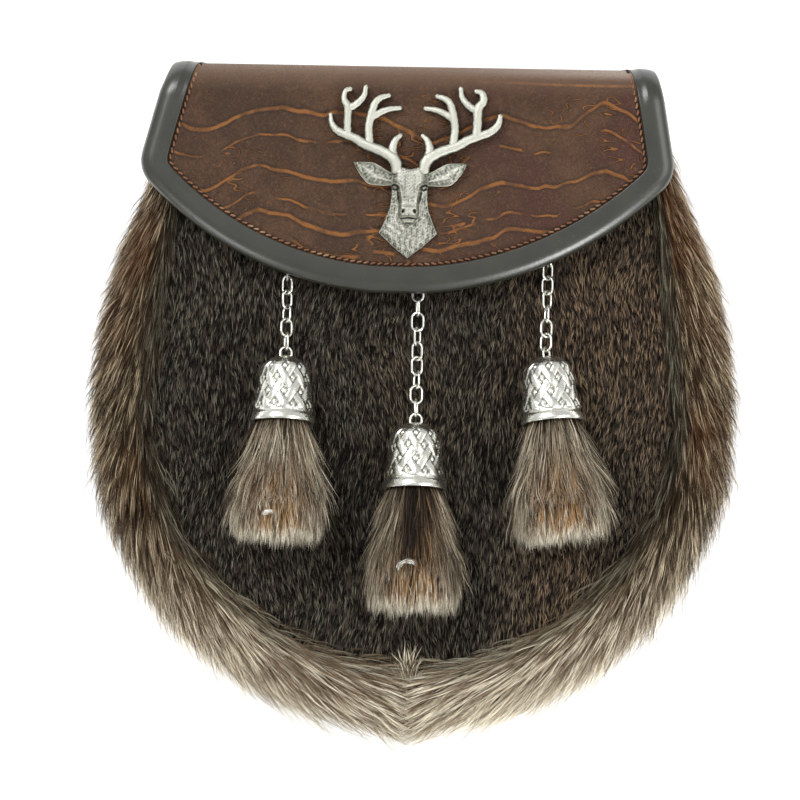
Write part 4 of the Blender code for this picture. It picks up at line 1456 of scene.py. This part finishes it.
def tine_shell(points, side):
    """A tine or beam: a tube with a flattened top, polished above and dark at its sides, whose darkness is
    painted shade, most of it on the side towards the pouch's bottom.
    """
    route = smooth_route(points, 7)
    sides = 16
    centre, radius = route[:, :3], np.maximum(route[:, 3], 12) * 1.2 + 6
    ahead = unit(np.gradient(centre, axis=0))
    across = unit(np.cross(ahead, UP))
    lift = unit(np.cross(across, ahead))
    knots = 1 + 0.05 * np.sin(np.arange(len(route)) * 1.7)
    phi = round_angles(sides)
    wide, high = signed_power(np.cos(phi), 0.75), signed_power(np.sin(phi), 0.75)
    body = (
        centre[:, None]
        + across[:, None] * (wide * (radius * knots)[:, None])[..., None]
        + lift[:, None] * (high * radius[:, None])[..., None]
    )
    tip = centre[-1:] + ahead[-1:] * radius[-1] * 0.8
    foot = centre[:1] - ahead[:1] * radius[0] * 0.5
    shell = np.concatenate([body.reshape(-1, 3), tip, foot])
    shell[:, 0] *= side
    count = len(route) * sides
    triangles = np.concatenate([
        grid_triangles(len(route), sides, around=True),
        ring_cap(count - sides, sides, count),
        ring_cap(0, sides, count + 1)[:, ::-1],
    ])
    # painted shade: darker on the sides, and most on the side that looks towards -Y
    below = -(across[:, 1:2] * wide + lift[:, 1:2] * high)
    bright = 0.12 + 0.80 * ramp(np.sin(phi), 0.25, 0.85) - 0.5 * np.clip(below - 0.25, 0, 1)
    return shell, triangles, np.append(np.maximum(bright, 0.08), [0.7, 0.3])


class SPORRAN_OT_badge(bpy.types.Operator):
    """Make the cast stag's head on the flap"""

    bl_idname = "sporran.badge"
    bl_label = "Stag Badge"

    def execute(self, context):
        points, triangles, bright = badge_parts()
        # the antlers' outer ends aren't quite each other's mirror image
        far = ramp(np.abs(points[:, 0]) / BADGE_UNIT, 522, 702) * BADGE_UNIT
        left = points[:, 0] < 0
        points[:, 1] -= 14 * far * left
        points[:, 0] += 0.018 * points[:, 1] + np.where(left, 38, 16) * far
        place = Matrix.Translation((*BADGE_PLACE, FLAP_TOP + 0.0001)) @ Matrix.Rotation(BADGE_TURN, 4, "Z")
        made = mesh_of("stag_badge_cast", transformed(points, place), triangles, pewter_material(), bright)
        face_out(made)
        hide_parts("stag_badge")
        return {"FINISHED"}


# ---------------------------------------------------------------- chains and tassels


def tassel_frame(x, y, lean):
    """Places a tassel: its own -Y runs down it, its +Z looks up."""
    place = Matrix.Translation((x, y, float(front_height(x, y)) + TASSEL_START))
    return place @ Matrix.Rotation(lean, 4, "Z") @ Matrix.Rotation(-TASSEL_RISE, 4, "X")


def chain_joints(x, y, lean, count):
    """Where the links hook into one another, from the cone's bail up to the last link."""
    bail = tassel_frame(x, y, lean) @ Vector((0, BAIL_REACH - WIRE / 2, 0))
    joints = [bail - Vector((0, (WIRE + GAP) / 2, 0))]
    for i in range(1, count + 1):
        share = min(1, i / CHAIN_RISING)
        level = joints[-1].y + LINK_PITCH
        over = lerp(CHAIN_REST_TOP, CHAIN_REST, min(1, (count - i) / CHAIN_RISING))
        rest = float(front_height(x, level)) + over
        target = Vector((lerp(bail.x, x, share), level, lerp(bail.z, rest, share)))
        joints.append(joints[-1] + (target - joints[-1]).normalized() * LINK_PITCH)
    return joints


def silver_material(name, relief):
    """Polished metal; with relief, its recesses are dark."""
    metal = settings().metal
    shade = Shade(name)
    place = shade.place()
    fine = shade.noise(place, 0.0008, detail=3)
    if relief:
        raised, _, _ = shade.attribute("tint")
        bright = (raised + (fine - 0.5) * 0.30).rise(0.08, 0.80)
    else:
        bright = fine.rise(0.1, 0.35) * 0.35 + 0.65
    base = shade.mix(bright, metal.silver_dark, metal.silver)
    shade.bump(fine, 0.00006, 0.6)
    return shade.set(colour=base, metallic=1.0, roughness=0.17 + 0.22 * fine)


def tube(route, radius, sides, closed):
    """Points and triangles of a round wire along a route that lies in one plane."""
    count = len(route)
    if closed:
        ahead = unit(np.roll(route, -1, axis=0) - np.roll(route, 1, axis=0))
    else:
        ahead = unit(np.gradient(route, axis=0))
    normal = np.cross(ahead, ahead[(np.arange(count) + count // 3) % count]).sum(axis=0)
    plane = unit(normal) if np.linalg.norm(normal) > 1e-9 else UP
    across = unit(np.cross(ahead, plane))
    phi = round_angles(sides)[:, None]
    body = route[:, None] + radius * (across[:, None] * np.cos(phi) + plane * np.sin(phi))
    return body.reshape(-1, 3), grid_triangles(count, sides, around=True, closed=closed)


def link_route():
    """A link's middle line, in its own plane, lengthwise along Y."""
    radius = (LINK_WIDTH - WIRE) / 2
    straight = (LINK_LENGTH - LINK_WIDTH) / 2
    points = []
    for end in (1, -1):
        for i in range(13):
            angle = math.radians(90 - 90 * end) + math.pi * i / 12
            points.append((radius * math.cos(angle), end * straight + radius * math.sin(angle), 0))
    return np.array(points)


class SPORRAN_OT_chains(bpy.types.Operator):
    """Make the three chains, link by link, and the staples that hold them"""

    bl_idname = "sporran.chains"
    bl_label = "Chains"

    def execute(self, context):
        material = silver_material("chain silver", relief=False)
        points, triangles = tube(link_route(), WIRE / 2, 12, closed=True)
        for name, x, y, lean, rolls in TASSELS:
            joints = chain_joints(x, y, lean, len(rolls))
            for i, roll in enumerate(reversed(rolls)):
                step = joints[i + 1] - joints[i]
                turn = Vector((0, 1, 0)).rotation_difference(step).to_matrix().to_4x4()
                place = Matrix.Translation((joints[i] + joints[i + 1]) / 2)
                matrix = place @ turn @ Matrix.Rotation(math.radians(roll), 4, "Y")
                number = len(rolls) - i
                made = mesh_of(f"chain_{name}_{number}", transformed(points, matrix), triangles, material)
                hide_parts(f"link_{name}_{number}")
            dress(f"chain_staple_{name}", material)
        return {"FINISHED"}


STRAP_AROUND = 9  # crossings round the cone
STRAP_PERIOD = 0.0078  # along the cone
STRAP_HALF = 0.27  # half a strap's width, as a share of the crossings' spacing
STRAP_BAND = (0.0022, 0.0170)
STRAP_HEIGHT = 0.00060
STUD_HALF = 0.15
STUD_HEIGHT = 0.55

TAIL_UPPER = 0.62  # the upper coat's share of a tail's hairs
TAIL_UPPER_START = (0.0165, 0.0420)  # along the tail from the cone's tip
TAIL_UNDER_START = (0.0340, 0.0480)
TAIL_HAIR_LENGTH = (0.010, 0.017)
TAIL_STREAKS = {"left": 0.45, "middle": 0.0, "right": 0.65}  # share of brown strands
TAIL_GATHER = (0.4, 0.85)  # of the upper coat, of the fringe
TAIL_CORE = (0.0150, 0.0480)
TAIL_CORE_SIZE = 0.72
# a pale lock whose colour is a painted highlight: its hairs, its arch's radius and place along the tail,
# its turn aside, its inner share
HIGHLIGHT_CURLS = {"left": (90, 0.0016, 0.0490, 0.17, 0.35), "middle": (70, 0.0026, 0.0450, 0.12, 0.74)}


def strapwork(angle, along):
    """Height from 0 to 1 of plaited straps that pass over and under one another."""
    u, v = angle / (2 * math.pi) * STRAP_AROUND, along / STRAP_PERIOD
    first, second = u + v, u - v
    a, b = first - np.floor(first) - 0.5, second - np.floor(second) - 0.5
    sign = np.where((np.floor(first) + np.floor(second)) % 2 == 0, 1, -1)

    def strap(offset, run, sign):
        width = np.abs(offset)
        border = 1 - 0.10 * bell(width, STRAP_HALF - 0.09, 0.030)
        body = ramp(width, STRAP_HALF, STRAP_HALF - 0.04)
        return body * border * (0.66 + 0.34 * sign * np.cos(math.pi * run))

    plait = np.maximum(strap(a, b, sign), strap(b, a, -sign))
    corner = np.maximum(np.abs(np.abs(a) - 0.5), np.abs(np.abs(b) - 0.5))
    return np.maximum(plait, STUD_HEIGHT * ramp(corner, STUD_HALF, STUD_HALF - 0.05))


class SPORRAN_OT_tassels(bpy.types.Operator):
    """Make the silver cones with their bails, and the fur tails"""

    bl_idname = "sporran.tassels"
    bl_label = "Tassels"

    def execute(self, context):
        silver = silver_material("cone silver", relief=True)
        hair, skin = tail_hair(), skin_material()
        for name, x, y, lean, rolls in TASSELS:
            place = tassel_frame(x, y, lean)
            self.cone(name, place, rolls[-1] + 90, silver)
            self.core(name, place, skin)
            self.tail(name, place, hair)
            if name in HIGHLIGHT_CURLS:
                self.highlight_curl(name, place, *HIGHLIGHT_CURLS[name])
        return {"FINISHED"}

    def cone(self, name, place, bail_roll, material):
        """A cast cup: plaited straps between a domed top and a plain rim, and a wire bail."""
        sides, rows, inner_rows = 160, 72, 8
        along = np.linspace(CONE_PROFILE[0][0], CONE_PROFILE[-1][0], rows)[:, None]
        angle = round_angles(sides)[None, :]
        low, high = STRAP_BAND
        fade = ramp(along, low, low + 0.0008) * ramp(along, high, high - 0.0004)
        height = strapwork(angle + 0.2, along) * fade
        wrap = np.pad(height, ((0, 0), (12, 12)), mode="wrap")
        light = np.clip(0.74 + relief_light(wrap, 6)[:, 12:-12] * 1.7, 0.06, 1)
        light = np.where(fade > 0.02, light, 0.92)
        size = table_column(CONE_PROFILE, along) + STRAP_HEIGHT * height
        outer = np.stack(np.broadcast_arrays(size * np.cos(angle), -along, size * np.sin(angle)), axis=-1)
        inside = outer[::-8][:inner_rows].copy()
        across = np.linalg.norm(inside[..., [0, 2]], axis=-1, keepdims=True)
        inside[..., [0, 2]] *= np.maximum((across - CONE_WALL) / across, 0.1)
        shell = np.concatenate([outer, inside]).reshape(-1, 3)
        bail, bail_triangles = self.bail(bail_roll)
        cup = grid_triangles(rows + inner_rows, sides, around=True)
        triangles = np.concatenate([cup, ring_cap(0, sides), bail_triangles + len(shell)])
        tint = np.concatenate([light.reshape(-1), np.full(inner_rows * sides, 0.1), np.ones(len(bail))])
        points = transformed(np.concatenate([shell, bail]), place)
        made = mesh_of(f"cone_{name}_silver", points, triangles, material, tint)
        face_out(made)
        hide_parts(f"cone_{name}")

    def bail(self, roll):
        """The wire arch on the cone's tip."""
        radius = (LINK_WIDTH - WIRE) / 2
        middle = BAIL_REACH - WIRE / 2 - radius
        turn = np.linspace(math.pi, 0, 15)
        arch = np.stack([radius * np.cos(turn), middle + radius * np.sin(turn), 0 * turn], axis=1)
        arch = np.concatenate([[[-radius, -BAIL_FOOT, 0]], arch, [[radius, -BAIL_FOOT, 0]]])
        points, triangles = tube(arch, WIRE / 2, 10, closed=False)
        return transformed(points, Matrix.Rotation(math.radians(roll), 4, "Y")), triangles

    def core(self, name, place, material):
        """The tail's skin, inside its hair."""
        rows, sides = 20, 24
        along = np.linspace(*TAIL_CORE, rows)[:, None]
        points = tail_surface(along, round_angles(sides)[None, :], TAIL_CORE_SIZE)
        points = transformed(points.reshape(-1, 3), place)
        face_out(mesh_of(f"tail_{name}_skin", points, tube_triangles(rows, sides), material))

    def tail(self, name, place, material):
        """An upper coat that ends early, over a paler fringe."""
        count = settings().fur.tail_hairs
        draws = Draws(SEEDS[f"tail_{name}"], count, STRAND)
        over = np.arange(count) < int(count * TAIL_UPPER) // STRAND * STRAND
        angle = draws.shared(draws.uniform(0, 2 * math.pi)) + draws.follower() * draws.normal(0, 0.05)
        from_top = np.mod(angle + math.pi / 2, 2 * math.pi) - math.pi
        front = np.clip(1.42 - np.abs(from_top) / 0.8, 0, 1)
        start = np.where(over, draws.uniform(*TAIL_UPPER_START), draws.uniform(*TAIL_UNDER_START))
        start = draws.shared(start) + draws.follower() * draws.normal(0, 0.0004)
        length = draws.uniform(*TAIL_HAIR_LENGTH)
        limit = np.where(over, 0.0552 - 0.0092 * front, 0.0562) - (0 if name == "middle" else 0.0012)
        limit = limit + draws.shared(draws.normal(0, 0.0012))
        end = np.minimum(start + length, np.maximum(limit, start + 0.004))
        inner = np.where(draws.uniform(0, 1) < 0.3, draws.uniform(0.1, 0.6), draws.uniform(0.60, 0.92))
        depth = np.where(over, draws.uniform(0.82, 0.97), inner)
        swing = draws.shared(draws.normal(0, 0.10)) + draws.normal(0, 0.03)
        flare = 0.10 + draws.shared(np.abs(draws.normal(0, 0.07)) - 0.02)
        flare += draws.shared(over * (draws.uniform(0, 1) < 0.10) * draws.uniform(0.1, 0.35))
        steps = np.linspace(0, 1, 4)[None, :]
        lines = tail_surface(
            start[:, None] + (end - start)[:, None] * steps,
            angle[:, None] + swing[:, None] * steps**1.3,
            depth[:, None] + flare[:, None] * (steps * 1.5 - 0.5 * steps**2),
        )
        coat, fringe = (gathered(lines, STRAND, share) for share in TAIL_GATHER)
        lines = np.where(over[:, None, None], coat, fringe)
        facing = draws.facing(np.stack([np.cos(angle), 0 * angle, np.sin(angle)], axis=1), 0.4)
        chance, tone = self.look(name, draws, over, from_top, start, end)
        widths = draws.uniform(*TAIL_WIDTH) * np.where(over, 1, 1.15)
        made = hair_mesh(f"tail_{name}_fur", material, lines, facing, chance, tone, widths)
        made.data.transform(place)
        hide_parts(f"tail_{name}")

    def look(self, name, draws, over, from_top, start, end):
        """How pale each hair is, and its tone: how brown it is, and 2 more in the fringe."""
        chance = draws.chance(0.34)
        hollow = bell(from_top, 0, 0.90, 4) * ramp(end, 0.040, 0.046)
        streak = draws.shared(draws.uniform(0, 1)) < TAIL_STREAKS[name]
        browned = streak * bell(from_top, 0, 0.85, 4) * ramp(end, 0.028, 0.040)
        warm = np.maximum(hollow * np.where(over, 0.6, 1.0), 0.88 * browned * over)
        if name == "middle":
            # a dark hole under the curl, in a brown core that is darkest near the cone: the hole and the
            # core's shadow are painted shade
            chance = chance * (1 - 0.9 * bell(from_top, 0.05, 0.20) * bell(start, 0.0445, 0.0016))
            core = bell(from_top, -0.10, 0.60, 4) * over
            warm = np.maximum(warm, 0.78 * core)
            shadow = bell(from_top, 0.15, 0.35) * 0.45 + 0.25
            chance = chance * np.where(over, 0.78, 1) * (1 - shadow * core * ramp(end, 0.048, 0.042))
        chance = np.where(over, chance, 0.12 + 0.88 * chance)
        return chance, np.clip(warm + 0.10 * draws.normal(0, 1), 0, 1) + 2 * ~over

    def highlight_curl(self, name, place, count, reach, level, aside, inner):
        """A pale lock that arches over the hollow in the tail's fur, its near-white colour a painted
        highlight.
        """
        draws = Draws(SEEDS["highlight_curl"], count)
        begin = draws.uniform(math.radians(75), math.radians(190))
        bend = begin[:, None] - np.linspace(0, 1, 4)[None, :] * draws.uniform(0.5, 1.2)[:, None]
        radius = reach * draws.uniform(inner, 1.10)[:, None]
        radius = radius + reach * 0.05 * draws.random.normal(0, 1, (count, 4)).cumsum(axis=1)
        along = level - radius * np.sin(bend) * 0.9
        angle = math.pi / 2 - radius * np.cos(bend) / table_column(TAIL_SECTION, along) + aside
        lines = tail_surface(along, angle, draws.uniform(1.04, 1.16)[:, None])
        made = hair_mesh(
            f"tail_{name}_curl", highlight_curl_hair(), lines, draws.facing(UP, 0.4),
            draws.uniform(0, 1), 0, draws.uniform(*CURL_WIDTH),
        )
        made.data.transform(place)


def tail_surface(along, angle, size):
    """Places on the tail's envelope, scaled about its middle line."""
    wide, deep, droop = (table_column(TAIL_SECTION, along, column) for column in (1, 2, 3))
    x = wide * np.cos(angle) * size
    z = deep * np.sin(angle) * size - droop
    return np.stack(np.broadcast_arrays(x, -along, z), axis=-1)


# ---------------------------------------------------------------- the back


class SPORRAN_OT_back(bpy.types.Operator):
    """Finish the leather back and its belt loops"""

    bl_idname = "sporran.back"
    bl_label = "Back"

    def execute(self, context):
        shade = Shade("back leather")
        place = shade.place()
        fine = shade.noise(place, 0.0016, detail=4)
        grain = shade.cells(place, 0.0010)
        base = shade.mix(shade.noise(place, 0.03), *BACK_LEATHER)
        base = shade.mix(fine.rise(0.6, 0.85) * 0.3, base, BACK_RUBBED)
        shade.bump(fine * 0.4 + grain.rise(0, 0.25) * 0.5, 0.0002)
        material = shade.set(colour=base, roughness=0.5 + 0.2 * fine)
        for name in ("back_panel", "belt_loop_left", "belt_loop_right"):
            dress(name, material)
        return {"FINISHED"}


# ---------------------------------------------------------------- the stage


class SPORRAN_OT_stage(bpy.types.Operator):
    """Make the floor, the lights and the camera straight over the pouch"""

    bl_idname = "sporran.stage"
    bl_label = "Stage"

    def execute(self, context):
        stage = settings().stage
        bpy.ops.mesh.primitive_plane_add(size=FLOOR_SIZE, location=(0, 0, 0))
        floor = context.object
        floor.name = "floor"
        shade = Shade("floor")
        lighter = tuple(min(1, c * 1.03) for c in stage.floor)
        base = shade.mix(shade.noise(shade.place(), 0.4), stage.floor, lighter)
        floor.data.materials.append(
            shade.set(colour=base, roughness=0.9, emission=(1, 1, 1), glow=FLOOR_GLOW)
        )
        self.camera(context, stage)
        for light in LIGHTS:
            self.light(context, *light)
        world = bpy.data.worlds.new("studio")
        world.use_nodes = True
        sky = world.node_tree.nodes["Background"]
        sky.inputs["Color"].default_value = (1, 1, 1, 1)
        sky.inputs["Strength"].default_value = SKY_STRENGTH
        context.scene.world = world
        context.scene.view_settings.view_transform = "Standard"
        return {"FINISHED"}

    def camera(self, context, stage):
        camera = bpy.data.cameras.new("camera")
        camera.sensor_width = SENSOR_WIDTH
        camera.lens = SENSOR_WIDTH * (stage.camera_height - FOCUS_HEIGHT) / stage.view_width
        camera.clip_start = 0.05
        obj = bpy.data.objects.new("camera", camera)
        obj.location = (*CAMERA_PLACE, stage.camera_height)
        obj.rotation_euler = (0, 0, stage.roll)
        context.scene.collection.objects.link(obj)
        context.scene.camera = obj

    def light(self, context, name, place, size, power):
        light = bpy.data.lights.new(name, "AREA")
        light.size = size
        light.energy = power
        obj = bpy.data.objects.new(name, light)
        obj.location = place
        obj.rotation_euler = (Vector(LIT_POINT) - Vector(place)).to_track_quat("-Z", "Y").to_euler()
        context.scene.collection.objects.link(obj)


# ---------------------------------------------------------------- the add-on


class SporranSettings(bpy.types.PropertyGroup):
    """All that a user would change."""

    fur: PointerProperty(type=FurSettings)
    leather: PointerProperty(type=LeatherSettings)
    metal: PointerProperty(type=MetalSettings)
    stage: PointerProperty(type=StageSettings)


class SPORRAN_PT_panel(bpy.types.Panel):
    """The pouch's pieces and settings"""

    bl_label = "Sporran"
    bl_idname = "SPORRAN_PT_panel"
    bl_space_type = "VIEW_3D"
    bl_region_type = "UI"
    bl_category = "Sporran"

    def draw(self, context):
        for operator in PIECES:
            self.layout.operator(operator.bl_idname)
        for name in ("fur", "leather", "metal", "stage"):
            box = self.layout.box()
            group = getattr(context.scene.sporran, name)
            for key in group.__annotations__:
                box.prop(group, key)


PIECES = (
    SPORRAN_OT_stage,
    SPORRAN_OT_back,
    SPORRAN_OT_front,
    SPORRAN_OT_border,
    SPORRAN_OT_seam_tuft,
    SPORRAN_OT_flap,
    SPORRAN_OT_badge,
    SPORRAN_OT_chains,
    SPORRAN_OT_tassels,
)
CLASSES = (
    FurSettings, LeatherSettings, MetalSettings, StageSettings, SporranSettings, *PIECES, SPORRAN_PT_panel
)


def register():
    for cls in CLASSES:
        bpy.utils.register_class(cls)
    bpy.types.Scene.sporran = PointerProperty(type=SporranSettings)


def unregister():
    del bpy.types.Scene.sporran
    for cls in reversed(CLASSES):
        bpy.utils.unregister_class(cls)


def main():
    register()
    bpy.ops.sporran.stage()
    bpy.ops.sporran.back()
    bpy.ops.sporran.front()
    bpy.ops.sporran.border()
    bpy.ops.sporran.seam_tuft()
    bpy.ops.sporran.flap()
    bpy.ops.sporran.badge()
    bpy.ops.sporran.chains()
    bpy.ops.sporran.tassels()


if __name__ == "__main__":
    main()
